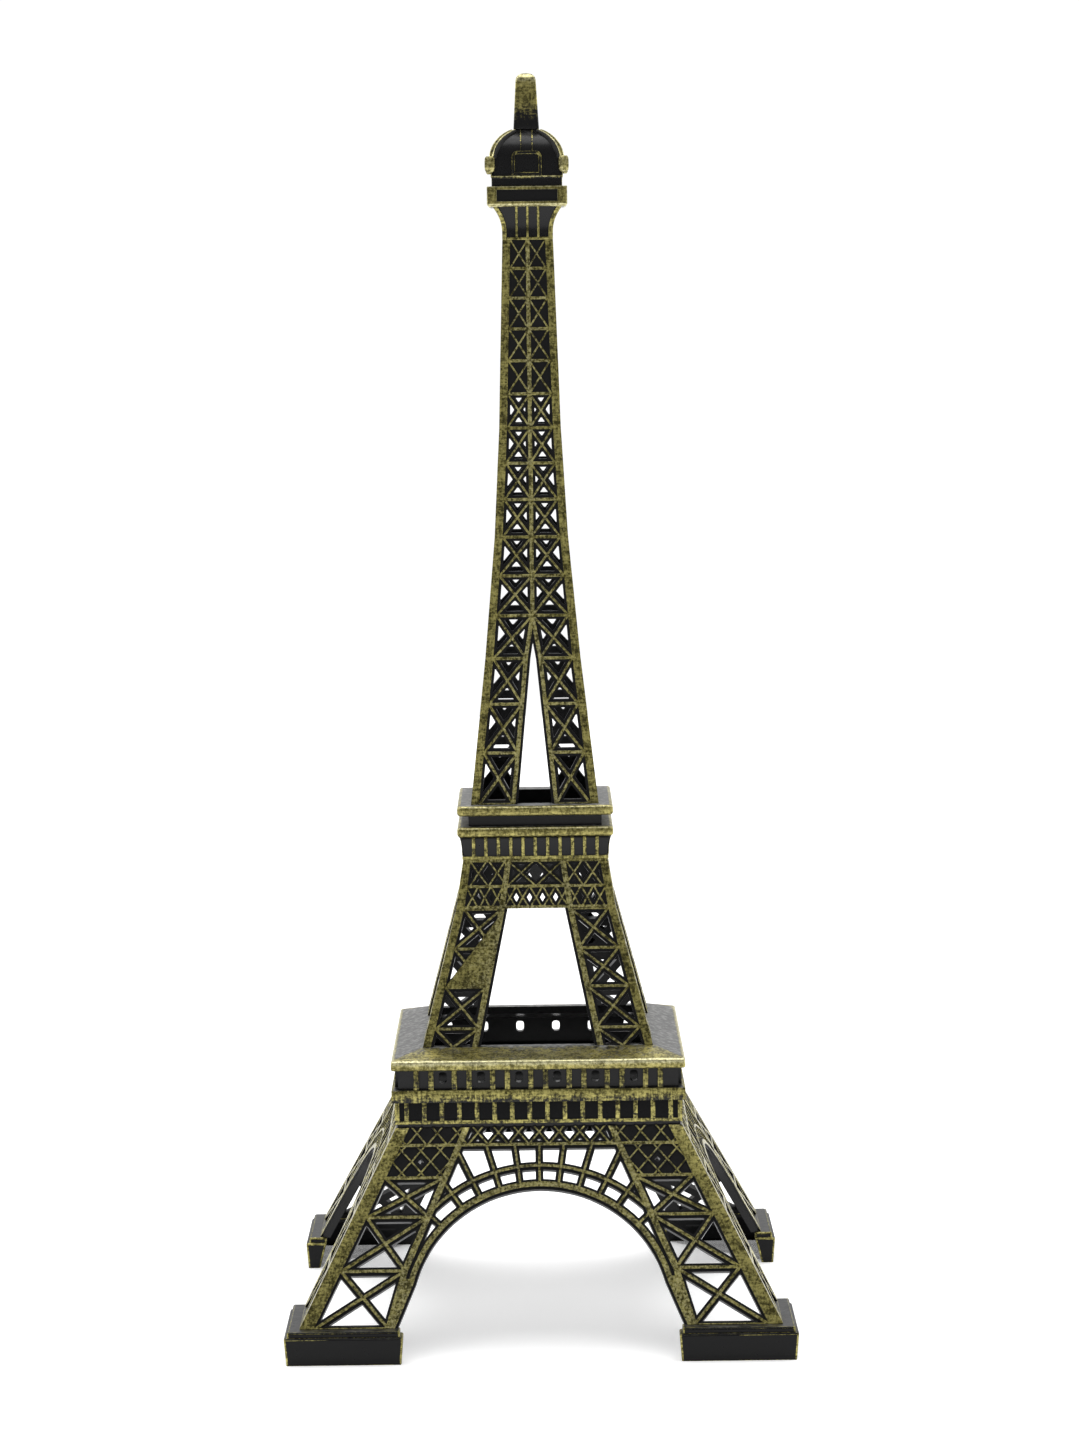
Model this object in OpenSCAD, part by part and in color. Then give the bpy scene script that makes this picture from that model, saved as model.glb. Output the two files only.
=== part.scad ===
// Miniature lattice tower, a cast desk ornament.
// Four cast lattice sides per tier meet at mitred corners and make a hollow tower on four L-shaped feet.
// Square rings, two galleries, a flared head and a domed lantern with a spire are stacked on them.
// Origin: centre of the footprint on the table. +Z is up, +X runs along the front side, the front looks to -Y.

/* [Feet] */
// Width across the four feet
base_w = 72; // [71:0.5:74]
// Length of each arm of an L-shaped foot
foot_len = 16.7; // [15.5:0.1:17.5]
// Height of a foot's plinth
foot_h = 3.9; // [3.6:0.1:4.5]
// Height of the step on top of the plinth
foot_step_h = 0.8; // [0.5:0.1:1.2]
// Set-back of the step from the plinth's faces
foot_step_in = 0.45; // [0.2:0.05:0.7]
// Thickness of a foot's arms at the top
foot_top_t = 3.1; // [3:0.1:4]
// Thickness of a foot's arms at the table
foot_bottom_t = 2.1; // [1.8:0.1:2.8]

/* [Castings] */
// Thickness of a lattice side, web and raised bars together
side_t = 1.4; // [1.3:0.05:1.6]
// Height of the raised bars over the web
bar_rise = 0.35; // [0.2:0.05:0.5]
// Width of a raised diagonal bar
bar_w = 0.38; // [0.3:0.02:0.5]
// Width of a diagonal on the legs of the lower tier
leg_bar_w = 0.48; // [0.4:0.02:0.56]
// Width of a diagonal in the nets and bands of small crosses
net_bar_w = 0.28; // [0.24:0.02:0.36]
// How far the web reaches past each side of a raised bar
web_reach = 0.36; // [0.25:0.01:0.4]
// Width of the corner strips on the legs
leg_strip_w = 2; // [1.6:0.1:2.3]
// Width of the corner strips on the middle tier and the shaft
upper_strip_w = 1.15; // [0.9:0.05:1.3]

/* [Lower tier] */
// Half-width of the tower where the legs stand on the feet
leg_foot_half = 33.9; // [33.5:0.1:34.2]
// Half-width of the tower where the legs reach the first platform
leg_top_half = 20.45; // [20.2:0.05:20.6]
// Height of the first platform's underside
frieze_z = 30.4; // [29.5:0.1:31]
// Radius of the arch under each side, in the plane of that side
arch_r = 18.1; // [17:0.1:18.4]
// Height of the arch's centre
arch_z = 6.2; // [5.5:0.1:6.8]
// Distance between the arch's two ribs
arch_rib_gap = 2.7; // [2.2:0.1:3]

/* [First platform] */
// Height of the frieze band
frieze_h = 3.65; // [3.2:0.05:4]
// Height of the ledge over the frieze
sill_h = 1.75; // [1.4:0.05:2]
// Height of the arcade
arcade_h = 2.85; // [2.4:0.05:3.2]
// Height of the eave
eave_h = 1.3; // [1:0.05:1.6]
// Rise of the roof from the eave to the middle tier
roof_rise = 1.25; // [0.8:0.05:1.6]
// Half-width of the ledge and the eave
platform_half = 21; // [20.8:0.05:21.4]

/* [Middle tier] */
// Half-width where the middle legs stand on the roof
mid_foot_half = 16.5; // [16.2:0.1:16.6]
// Half-width at the lower edge of the lattice band
mid_band_half = 11.5; // [11.3:0.1:11.7]
// Half-width under the second platform
mid_top_half = 10.4; // [10.3:0.05:10.5]
// Height of the middle legs
mid_leg_h = 19.2; // [18.5:0.1:20]
// Height of the lattice band over the middle legs
mid_band_h = 7.05; // [6.6:0.05:7.4]

/* [Second platform] */
// Height of the flared corbel
corbel_h = 3.3; // [2.8:0.1:3.6]
// Height of each of the two ledges
ledge_h = 1.45; // [1.2:0.05:1.7]
// Height of the groove between the ledges
groove_h = 1.6; // [1.2:0.05:2]
// Half-width of the ledges
ledge_half = 11.25; // [11.1:0.05:11.6]

/* [Shaft] */
// Half-width of the shaft's foot
shaft_foot_half = 9.2; // [9:0.05:9.3]
// Number of lattice cells up the shaft
shaft_cells = 15; // [15]
// Height of the lowest cell
cell_h = 7.4; // [7.3:0.05:7.5]
// How much each of the four lowest cells loses to the one above
low_cell_drop = 0.42; // [0.4:0.01:0.44]
// How much each higher cell loses to the one above
high_cell_drop = 0.165; // [0.16:0.005:0.17]

/* [Lantern] */
// Height of the flared head under the top gallery
head_h = 5; // [4.6:0.1:5.4]
// Half-width of the top gallery
gallery_half = 5.75; // [5.5:0.05:6]
// Height of the top gallery
gallery_h = 2.6; // [2.2:0.05:3]
// Half-width of the drum and the dome
dome_half = 5.05; // [4.9:0.05:5.2]
// Height of the drum
drum_h = 1.5; // [1.2:0.05:1.8]
// Height of the dome
dome_h = 6.6; // [6.2:0.05:7]
// Height of the spire's tip over the table
total_h = 180; // [178.5:0.5:183]
// Half-width of the spire's foot
spire_half = 1.85; // [1.6:0.05:2]

/* [Hidden] */

$fn = 64;
base_half = base_w / 2;
seat_gap = 0.05;                                  // clearance of a tab in its slot and of a spigot in its seat
reach = 100;                                      // longer than any half-width, for cutting shapes

// heights of the seams between the pieces
leg_z = foot_h + foot_step_h;
arcade_z = frieze_z + frieze_h;
roof_z = arcade_z + sill_h + arcade_h;
mid_z = roof_z + eave_h + roof_rise;
band_z = mid_z + mid_leg_h;
corbel_z = band_z + mid_band_h;
tray_z = corbel_z + corbel_h;
ledge_z = tray_z + ledge_h + groove_h;
shaft_z = ledge_z + ledge_h;

// heights of the shaft's horizontals: each cell is a little lower than the one below it
low_cells = 4;
function cell_height(k) = cell_h - low_cell_drop * min(k, low_cells) - high_cell_drop * max(k - low_cells, 0);
function shaft_level(k) = k == 0 ? shaft_z : shaft_level(k - 1) + cell_height(k - 1);
head_z = shaft_level(shaft_cells);
box_z = head_z + head_h;
drum_z = box_z + gallery_h;
dome_z = drum_z + drum_h;
spire_z = dome_z + dome_h;
spire_h = total_h - spire_z;

// a facet is one flat lattice face: [bottom height, half-width there, top height, half-width there]
lower_facet = [leg_z, leg_foot_half, frieze_z, leg_top_half];
mid_leg_facet = [mid_z, mid_foot_half, band_z, mid_band_half];
mid_band_facet = [band_z, mid_band_half, corbel_z, mid_top_half];
facet_cells = [0, 3, 6, 9, shaft_cells];          // the shaft's faces bend at these horizontals
facet_halves = [shaft_foot_half, 6.85, 5.3, 4.45, 3.65];
shaft_facets = [for (i = [0:3]) [shaft_level(facet_cells[i]), facet_halves[i],
                                 shaft_level(facet_cells[i + 1]), facet_halves[i + 1]]];
upright = [0, 0, 1, 0];                           // the facet of a drawing made in plain elevation

function lean(f) = atan((f[1] - f[3]) / (f[2] - f[0]));
function half_at(f, z) = f[1] + (f[3] - f[1]) * (z - f[0]) / (f[2] - f[0]);
function flat(f, x, z) = [x, (z - f[0]) / cos(lean(f))];

// ---- shared shapes ----

// the quarter of the tower that a front side may fill, so that sides meet at mitred corners
module quarter(z0, z1) {
  translate([0, 0, z0]) linear_extrude(z1 - z0) polygon([[0, 0], [-reach, -reach], [reach, -reach]]);
}

// puts a drawing made in the plane of facet f on the tower's front
module on_facet(f) {
  translate([0, -f[1], f[0]]) rotate([90 - lean(f), 0, 0]) children();
}

// one lattice face: child 0 is the drawing of the web, child 1 the drawing of the raised bars
module cast_face(f) {
  intersection() {
    quarter(f[0], f[2]);
    on_facet(f) {
      translate([0, 0, -side_t]) linear_extrude(side_t - bar_rise) children(0);
      translate([0, 0, -bar_rise - 0.1]) linear_extrude(bar_rise + 0.1) children(1);
    }
  }
}

// a straight bar of width w from [x0, z0] to [x1, z1] in facet f
module bar(f, x0, z0, x1, z1, w) {
  p = flat(f, x0, z0);
  q = flat(f, x1, z1);
  d = q - p;
  translate(p) rotate(atan2(d[1], d[0])) translate([-w / 3, -w / 2]) square([norm(d) + w * 2 / 3, w]);
}

// two crossing diagonals in the cell whose corners are [left, right] at z0 and at z1
module cross(f, low, z0, high, z1, w) {
  bar(f, low[0], z0, high[1], z1, w);
  bar(f, low[1], z0, high[0], z1, w);
}

// a square turned solid: half-width a at height z for each [a, z], lowest first
module square_solid(outline) {
  n = len(outline);
  points = concat(outline, [for (i = [n - 1:-1:0]) [-outline[i][0], outline[i][1]]]);
  intersection() {
    rotate([90, 0, 0]) translate([0, 0, -reach]) linear_extrude(2 * reach) polygon(points);
    rotate([90, 0, 90]) translate([0, 0, -reach]) linear_extrude(2 * reach) polygon(points);
  }
}

// a square ring with a straight bore
module square_ring(outline, bore_half) {
  z0 = outline[0][1];
  z1 = outline[len(outline) - 1][1];
  difference() {
    square_solid(outline);
    translate([-bore_half, -bore_half, z0 - 1]) cube([2 * bore_half, 2 * bore_half, z1 - z0 + 2]);
  }
}

// the lip under a ring at height z, which sits inside the bore of the ring below
module spigot(z, bore_half) {
  square_ring([[bore_half - seat_gap, z - 0.8], [bore_half - seat_gap, z], [bore_half + 0.1, z],
               [bore_half + 0.1, z + 0.8]], bore_half - spigot_t);
}

module four_sides() {
  for (turn = [0:3]) rotate(90 * turn) children();
}

// count posts of width w at the given pitch on the front of a ring
module post_row(count, pitch, w, z, h, y_front, depth) {
  for (i = [0:count - 1])
    translate([(i - (count - 1) / 2) * pitch - w / 2, -y_front, z]) cube([w, depth, h]);
}

// ---- feet ----

tab_t = 0.5;                                      // thickness of a side's foot tab
tab_h = 2.2;                                      // depth of a tab in its slot
tab_len = 7.5;
tab_y = leg_foot_half - 0.2;                      // distance of a tab's outer face from the tower's axis
tab_x = 22.8;                                     // distance of a tab's inner end from the tower's middle

// one arm of the front left foot, which runs along +X from the corner
module foot_arm() {
  waist = foot_h * 0.55;                          // the arm's inner face leans out below this height
  rotate([90, 0, 90]) translate([0, 0, -base_half]) linear_extrude(foot_len)
    polygon([[-base_half, 0], [-base_half + foot_bottom_t, 0], [-base_half + foot_top_t, waist],
             [-base_half + foot_top_t, foot_h], [-base_half, foot_h]]);
  translate([-base_half + foot_step_in, -base_half + foot_step_in, foot_h])
    cube([foot_len - 2 * foot_step_in, foot_top_t - foot_step_in, foot_step_h]);
}

module tab_slot() {
  translate([-tab_x - tab_len - seat_gap, -tab_y - seat_gap, leg_z - tab_h - seat_gap])
    cube([tab_len + 2 * seat_gap, tab_t + 2 * seat_gap, tab_h + 1]);
}

module corner_foot() {
  color("darkolivegreen") difference() {
    union() {
      foot_arm();
      mirror([1, -1, 0]) foot_arm();
    }
    tab_slot();
    mirror([1, -1, 0]) tab_slot();
  }
}

module foot_front_left() { corner_foot(); }
module foot_front_right() { rotate(90) corner_foot(); }
module foot_back_right() { rotate(180) corner_foot(); }
module foot_back_left() { rotate(270) corner_foot(); }

// ---- lower tier ----

chord_w = 0.9;
knee_z = 12;                                      // the leg's inner chord bends at the lowest horizontal
knee_x = 19.1;
chord_foot_x = 21.4;
chord_top_x = 10.3;
leg_levels = [leg_z, knee_z, 18.85, 23.9];        // horizontals of the legs' lattice cells
band_a_z = 28.1;                                  // foot of the upper lattice band
arch_bars = [0, 8.1, 17, 26.1, 35.2, 47];         // directions of the arch's radial bars, from upright
arch_flank = 30;                                  // the arch runs straight down below this direction
arch_foot_x = 20.1;
f_low = lower_facet;
arch_v = flat(f_low, 0, arch_z)[1];

function chord_x(z) = z < knee_z ? chord_foot_x + (knee_x - chord_foot_x) * (z - leg_z) / (knee_z - leg_z)
                                 : knee_x + (chord_top_x - knee_x) * (z - knee_z) / (frieze_z - knee_z);
function strip_x(z) = half_at(f_low, z) - leg_strip_w;

// the opening under the arch, grown by g
module arch_opening(g) {
  r = arch_r + g;
  translate([0, arch_v]) circle(r, $fn = 128);
  polygon([[-arch_foot_x - g, -3], [arch_foot_x + g, -3], [arch_foot_x + g, 0],
           [r * cos(arch_flank), arch_v + r * sin(arch_flank)],
           [-r * cos(arch_flank), arch_v + r * sin(arch_flank)], [-arch_foot_x - g, 0]]);
}

// the field between the two inner chords and under the upper band, grown by g
module arch_field(g) {
  polygon([for (p = [[-1, leg_z], [-1, knee_z], [-1, band_a_z], [1, band_a_z], [1, knee_z], [1, leg_z]])
            flat(f_low, p[0] * (chord_x(p[1]) + g), p[1])]);
}

// all of the side's face, from corner to corner
module lower_outline() {
  polygon([flat(f_low, -leg_foot_half - 2, leg_z - 1), flat(f_low, leg_foot_half + 2, leg_z - 1),
           flat(f_low, leg_top_half + 2, frieze_z + 1), flat(f_low, -leg_top_half - 2, frieze_z + 1)]);
}

// the legs' strips, chords and crossed cells
module leg_lattice(g) {
  for (s = [-1, 1]) {
    polygon([flat(f_low, s * (leg_foot_half + 2), leg_z - 1),
             flat(f_low, s * (strip_x(leg_z - 1) - g), leg_z - 1),
             flat(f_low, s * (strip_x(frieze_z + 1) - g), frieze_z + 1),
             flat(f_low, s * (leg_top_half + 2), frieze_z + 1)]);
    bar(f_low, s * chord_foot_x, leg_z, s * knee_x, knee_z, chord_w + 2 * g);
    bar(f_low, s * knee_x, knee_z, s * chord_top_x, frieze_z, chord_w + 2 * g);
    for (i = [0:2])
      cross(f_low, [s * chord_x(leg_levels[i]), s * strip_x(leg_levels[i])], leg_levels[i],
            [s * chord_x(leg_levels[i + 1]), s * strip_x(leg_levels[i + 1])], leg_levels[i + 1],
            leg_bar_w + 2 * g);
    for (z = concat(leg_levels, [band_a_z]))
      bar(f_low, s * chord_x(z), z, s * strip_x(z), z, bar_w * 1.3 + 2 * g);
  }
}

// two ribs round the arch and the radial bars between them
module arch_lattice(g) {
  rib_w = 0.8;
  outer_rib_w = 0.45;
  intersection() {
    arch_field(0);
    union() {
      difference() {
        arch_opening(0.4 + rib_w + g);
        arch_opening(max(0.4 - g, 0));
      }
      difference() {
        arch_opening(0.8 + arch_rib_gap + outer_rib_w / 2 + g);
        arch_opening(0.8 + arch_rib_gap - outer_rib_w / 2 - g);
      }
      for (s = [-1, 1]) for (a = arch_bars) if (a > 0 || s > 0)
        translate([0, arch_v]) rotate(-s * a) translate([-bar_w / 2 - g, arch_r + 0.7])
          square([bar_w + 2 * g, 12]);
    }
  }
}

// the band of crosses under the platform
module upper_band(g) {
  pitch = 2.9;
  run = 2.1;
  count = 14;
  top_x = strip_x(band_a_z);
  bar(f_low, -top_x, band_a_z, top_x, band_a_z, bar_w * 1.3 + 2 * g);
  for (i = [0:count - 1]) {
    x = (i - (count - 1) / 2) * pitch;
    bar(f_low, x, band_a_z, x - run, frieze_z, net_bar_w + 2 * g);
    bar(f_low, x, band_a_z, x + run, frieze_z, net_bar_w + 2 * g);
  }
}

net_pitch = 2.75;
net_run = 4.1;                                    // how far a bar of the net travels over the net's height

// the part of both legs between two heights, from the inner chord to the corner strip
module leg_cell(z0, z1) {
  for (s = [-1, 1])
    polygon([flat(f_low, s * chord_x(z0), z0), flat(f_low, s * strip_x(z0), z0),
             flat(f_low, s * strip_x(z1), z1), flat(f_low, s * chord_x(z1), z1)]);
}

// the diamond net over the legs' top cell
module diamond_net() {
  z0 = leg_levels[3];
  intersection() {
    leg_cell(z0, band_a_z);
    for (s = [-1, 1]) for (i = [-2:5]) {
      x = chord_x(z0) + i * net_pitch;
      bar(f_low, s * x, z0, s * (x + net_run), band_a_z, net_bar_w);
      bar(f_low, s * (x + net_run), z0, s * x, band_a_z, net_bar_w);
    }
  }
}

// the web behind the net and the band over the legs, closed but for one small diamond on each leg
module closed_web() {
  z0 = leg_levels[3];
  difference() {
    leg_cell(z0, frieze_z);
    for (s = [-1, 1]) translate(flat(f_low, s * (chord_x(z0) + (net_run + net_pitch) / 2), (z0 + band_a_z) / 2))
      rotate(45) square(0.62, center = true);
  }
}

// fills the groove between the arch's rib and the leg's chord near the foot, where they run together
module merged_foot() {
  top_z = 11;
  inner_x = 16;
  for (s = [-1, 1])
    polygon([flat(f_low, s * chord_x(leg_z), leg_z - 1), flat(f_low, s * chord_x(top_z), top_z),
             flat(f_low, s * inner_x, top_z), flat(f_low, s * inner_x, leg_z - 1)]);
}

module lower_web() {
  intersection() {
    difference() {
      lower_outline();
      arch_opening(0);
    }
    union() {
      leg_lattice(web_reach);
      arch_lattice(web_reach);
      upper_band(web_reach);
      closed_web();
    }
  }
}

module lower_bars() {
  intersection() {
    difference() {
      lower_outline();
      arch_opening(0.4);
    }
    union() {
      leg_lattice(0);
      arch_lattice(0);
      upper_band(0);
      diamond_net();
      merged_foot();
    }
  }
}

module lower_side() {
  color("olivedrab") {
    cast_face(f_low) {
      lower_web();
      lower_bars();
    }
    for (s = [0, 1]) mirror([s, 0, 0]) translate([-tab_x - tab_len, -tab_y, leg_z - tab_h])
      cube([tab_len, tab_t, tab_h + 0.3]);
  }
}

module lower_side_front() { lower_side(); }
module lower_side_right() { rotate(90) lower_side(); }
module lower_side_back() { rotate(180) lower_side(); }
module lower_side_left() { rotate(270) lower_side(); }

// ---- first platform ----

frieze_half = 20.1;                               // face of the frieze between its posts
wall_half = 18.7;                                 // inside of the platform's hollow walls
arcade_half = 20;                                 // face of the arcade between its posts
spigot_t = 1;                                     // wall of the lips that locate one ring in another

module first_frieze() {
  mould_h = 0.48;
  post_w = 0.62;
  color("olive") {
    square_ring([[20.2, frieze_z], [20.2, frieze_z + mould_h], [20.45, frieze_z + mould_h],
                 [20.45, frieze_z + 2 * mould_h], [frieze_half, frieze_z + 2 * mould_h],
                 [frieze_half, arcade_z]], wall_half);
    four_sides() {
      post_row(16, 2.51, post_w, frieze_z + 2 * mould_h, frieze_h - 2 * mould_h, frieze_half + 0.45, 0.6);
      for (s = [-1, 1])
        translate([s * (frieze_half + 0.1) - post_w / 2, -frieze_half - 0.4, frieze_z + mould_h])
          cube([post_w, post_w, frieze_h - mould_h]);
    }
    // the lip inside the tops of the four lower sides
    square_ring([[wall_half, frieze_z - 1.2], [wall_half, frieze_z + 0.6]], wall_half - spigot_t);
  }
}

module first_arcade() {
  pair_pitch = 5.45;
  pair_gap = 2.11;
  post_w = 0.72;
  window = [1.15, 1.6];
  sill_z = arcade_z + sill_h;
  color("olivedrab") {
    difference() {
      square_ring([[platform_half - 0.05, arcade_z], [platform_half - 0.05, sill_z],
                   [arcade_half, sill_z], [arcade_half, roof_z]], wall_half);
      four_sides() for (i = [0:5])
        translate([(i - 2.5) * pair_pitch - window[0] / 2, -reach, roof_z - window[1] - 0.35])
          cube([window[0], reach, window[1]]);
    }
    four_sides() for (s = [-1, 1]) translate([s * pair_gap / 2, 0, 0])
      post_row(7, pair_pitch, post_w, sill_z, arcade_h, arcade_half + 0.55, 0.7);
    spigot(arcade_z, wall_half);
  }
}

module first_roof() {
  eave_z = roof_z + eave_h;
  opening = mid_foot_half - side_t - 0.1;
  color("darkkhaki") difference() {
    square_solid([[platform_half, roof_z], [platform_half, eave_z], [mid_foot_half + 0.1, mid_z]]);
    // hollow underneath, which fits over the arcade's wall
    square_solid([[wall_half - spigot_t, roof_z - 1], [wall_half - spigot_t, roof_z + 0.3],
                  [opening + 0.7, mid_z - 1.1], [opening, mid_z - 1.1], [opening, mid_z + 1]]);
    four_sides() mid_tab(seat_gap);
  }
}

// ---- middle tier ----

mid_tab_len = 4.2;
mid_tab_x = 11;
f_leg = mid_leg_facet;
f_band = mid_band_facet;
mid_levels = [mid_z, mid_z + 2.55, mid_z + 8.3, mid_z + 13.65, band_z];
band_row_z = band_z + 3.2;
mid_chord_foot_x = 9;
mid_chord_band_x = 4.95;
mid_chord_top_x = 3.9;

function mid_chord_x(z) = z < band_z
  ? mid_chord_foot_x + (mid_chord_band_x - mid_chord_foot_x) * (z - mid_z) / (band_z - mid_z)
  : mid_chord_band_x + (mid_chord_top_x - mid_chord_band_x) * (z - band_z) / (corbel_z - band_z);
function mid_strip_x(f, z) = half_at(f, z) - upper_strip_w;

// tabs under the middle legs, grown by g for their slots in the roof
module mid_tab(g) {
  for (s = [0, 1]) mirror([s, 0, 0])
    translate([-mid_tab_x - mid_tab_len / 2 - g, -mid_foot_half + 0.35 - g, mid_z - 0.8 - g])
      cube([mid_tab_len + 2 * g, 0.7 + 2 * g, 0.8 + 2 * g + (g > 0 ? 1 : 0.2)]);
}

module mid_strips(f, z0, z1, g) {
  for (s = [-1, 1]) {
    polygon([flat(f, s * (half_at(f, z0) + 2), z0), flat(f, s * (mid_strip_x(f, z0) - g), z0),
             flat(f, s * (mid_strip_x(f, z1) - g), z1), flat(f, s * (half_at(f, z1) + 2), z1)]);
    bar(f, s * mid_chord_x(z0), z0, s * mid_chord_x(z1), z1, 0.85 + 2 * g);
  }
}

module mid_leg_lattice(g) {
  mid_strips(f_leg, mid_z - 1, band_z, g);
  for (s = [-1, 1]) {
    for (i = [1:3])
      cross(f_leg, [s * mid_chord_x(mid_levels[i]), s * mid_strip_x(f_leg, mid_levels[i])], mid_levels[i],
            [s * mid_chord_x(mid_levels[i + 1]), s * mid_strip_x(f_leg, mid_levels[i + 1])], mid_levels[i + 1],
            bar_w + 2 * g);
    for (i = [1:4])
      bar(f_leg, s * mid_chord_x(mid_levels[i]), mid_levels[i],
          s * mid_strip_x(f_leg, mid_levels[i]), mid_levels[i], bar_w * 1.2 + 2 * g);
    // the lowest cell holds the upper half of a cross only
    middle = (mid_chord_x(mid_z) + mid_strip_x(f_leg, mid_z)) / 2;
    bar(f_leg, s * middle, mid_z, s * mid_chord_x(mid_levels[1]), mid_levels[1], bar_w + 2 * g);
    bar(f_leg, s * middle, mid_z, s * mid_strip_x(f_leg, mid_levels[1]), mid_levels[1], bar_w + 2 * g);
  }
}

// a row of equal crosses from x0 to x1
module cross_row(f, count, x0, x1, z0, z1, w) {
  step = (x1 - x0) / count;
  for (i = [0:count - 1])
    cross(f, [x0 + i * step, x0 + (i + 1) * step], z0, [x0 + i * step, x0 + (i + 1) * step], z1, w);
}

module mid_band_lattice(g) {
  w = net_bar_w + 2 * g;
  mid_strips(f_band, band_z, corbel_z + 0.5, g);
  for (z = [band_z + 0.25, band_row_z, corbel_z - 0.2])
    bar(f_band, -mid_strip_x(f_band, z), z, mid_strip_x(f_band, z), z, bar_w * 1.2 + 2 * g);
  low_chord = mid_chord_x(band_z + 1.6);
  high_chord = mid_chord_x(band_row_z + 1.9);
  cross_row(f_band, 5, -low_chord, low_chord, band_z, band_row_z, w);
  cross_row(f_band, 2, -high_chord, high_chord, band_row_z, corbel_z, w);
  for (s = [-1, 1]) {
    cross_row(f_band, 3, s * low_chord, s * mid_strip_x(f_band, band_z + 1.6), band_z, band_row_z, w);
    cross_row(f_band, 2, s * high_chord, s * mid_strip_x(f_band, band_row_z + 1.9), band_row_z, corbel_z, w);
  }
}

module middle_side() {
  color("olivedrab") {
    cast_face(f_leg) {
      mid_leg_lattice(web_reach);
      mid_leg_lattice(0);
    }
    cast_face(f_band) {
      mid_band_lattice(web_reach);
      mid_band_lattice(0);
    }
    mid_tab(0);
  }
}

module middle_side_front() { middle_side(); }
module middle_side_right() { rotate(90) middle_side(); }
module middle_side_back() { rotate(180) middle_side(); }
module middle_side_left() { rotate(270) middle_side(); }

// ---- second platform ----

tray_bore = 8.9;                                  // inside of the second platform's walls
ledge_bore = shaft_foot_half - side_t + 0.05;     // the upper ledge carries the shaft round this opening

// an outline that flares from half-width a0 at z0 to a1 at z1, as a quarter ellipse of short steps
function flare(a0, z0, a1, z1, steps) = [for (i = [0:steps])
  [a1 - (a1 - a0) * cos(90 * i / steps), z0 + (z1 - z0) * sin(90 * i / steps)]];

module second_corbel() {
  foot_h = 0.45;
  rise = [mid_top_half + 0.05, corbel_z + foot_h];
  color("olive") {
    square_ring(concat([[mid_top_half + 0.15, corbel_z], [mid_top_half + 0.15, corbel_z + foot_h]],
                       flare(rise[0] - 0.15, rise[1], ledge_half - 0.25, tray_z, 6)), tray_bore);
    four_sides() intersection() {
      post_row(11, 1.78, 0.46, corbel_z + foot_h, corbel_h - foot_h, ledge_half, 1.6);
      square_solid(concat([[mid_top_half + 0.15, corbel_z]],
                          flare(rise[0] + 0.15, rise[1], ledge_half, tray_z, 6)));
    }
    // the lip inside the tops of the four middle sides
    square_ring([[tray_bore, corbel_z - 1], [tray_bore, corbel_z + 0.6]], tray_bore - spigot_t);
  }
}

module second_gallery() {
  groove_half = ledge_half - 1.65;
  color("olivedrab") {
    square_ring([[ledge_half, tray_z], [ledge_half, tray_z + ledge_h]], tray_bore);
    difference() {
      translate([-groove_half, -groove_half, tray_z])
        cube([2 * groove_half, 2 * groove_half, ledge_h + groove_h]);
      translate([-tray_bore, -tray_bore, tray_z - 1])
        cube([2 * tray_bore, 2 * tray_bore, ledge_h + groove_h + 2]);
    }
    spigot(tray_z, tray_bore);
  }
}

module second_ledge() {
  color("darkkhaki") {
    difference() {
      union() {
        square_solid([[ledge_half, ledge_z], [ledge_half, shaft_z]]);
        spigot(ledge_z, tray_bore);
      }
      translate([-ledge_bore, -ledge_bore, ledge_z - 1]) cube([2 * ledge_bore, 2 * ledge_bore, 10]);
      four_sides() shaft_tab(seat_gap);
    }
  }
}

// ---- shaft ----

split_z = shaft_level(4);                         // the centre chord splits in two below this height
open_cells = 10;                                  // the web is pierced up to this cell
bar_taper = 0.4;                                  // share of their width that the diagonals lose up the shaft
shaft_chord_foot_x = 3.1;
shaft_chord_knee_x = 1.05;

function shaft_chord_x(z) = z >= split_z ? 0
  : z >= shaft_level(3) ? shaft_chord_knee_x * (split_z - z) / (split_z - shaft_level(3))
  : shaft_chord_knee_x
    + (shaft_chord_foot_x - shaft_chord_knee_x) * (shaft_level(3) - z) / (shaft_level(3) - shaft_z);
function facet_of(z) = [for (f = shaft_facets) if (z >= f[0] - 0.01 && z <= f[2] + 0.01) f][0];
function shaft_strip_x(z) = half_at(facet_of(z), z) - upper_strip_w;

// tabs under the shaft's legs, grown by g for their slots in the ledge
module shaft_tab(g) {
  for (s = [0, 1]) mirror([s, 0, 0])
    translate([-7 - g, -shaft_foot_half + 0.35 - g, shaft_z - 1 - g])
      cube([2.6 + 2 * g, 0.7 + 2 * g, 1 + 2 * g + (g > 0 ? 1 : 0.2)]);
}

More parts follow.
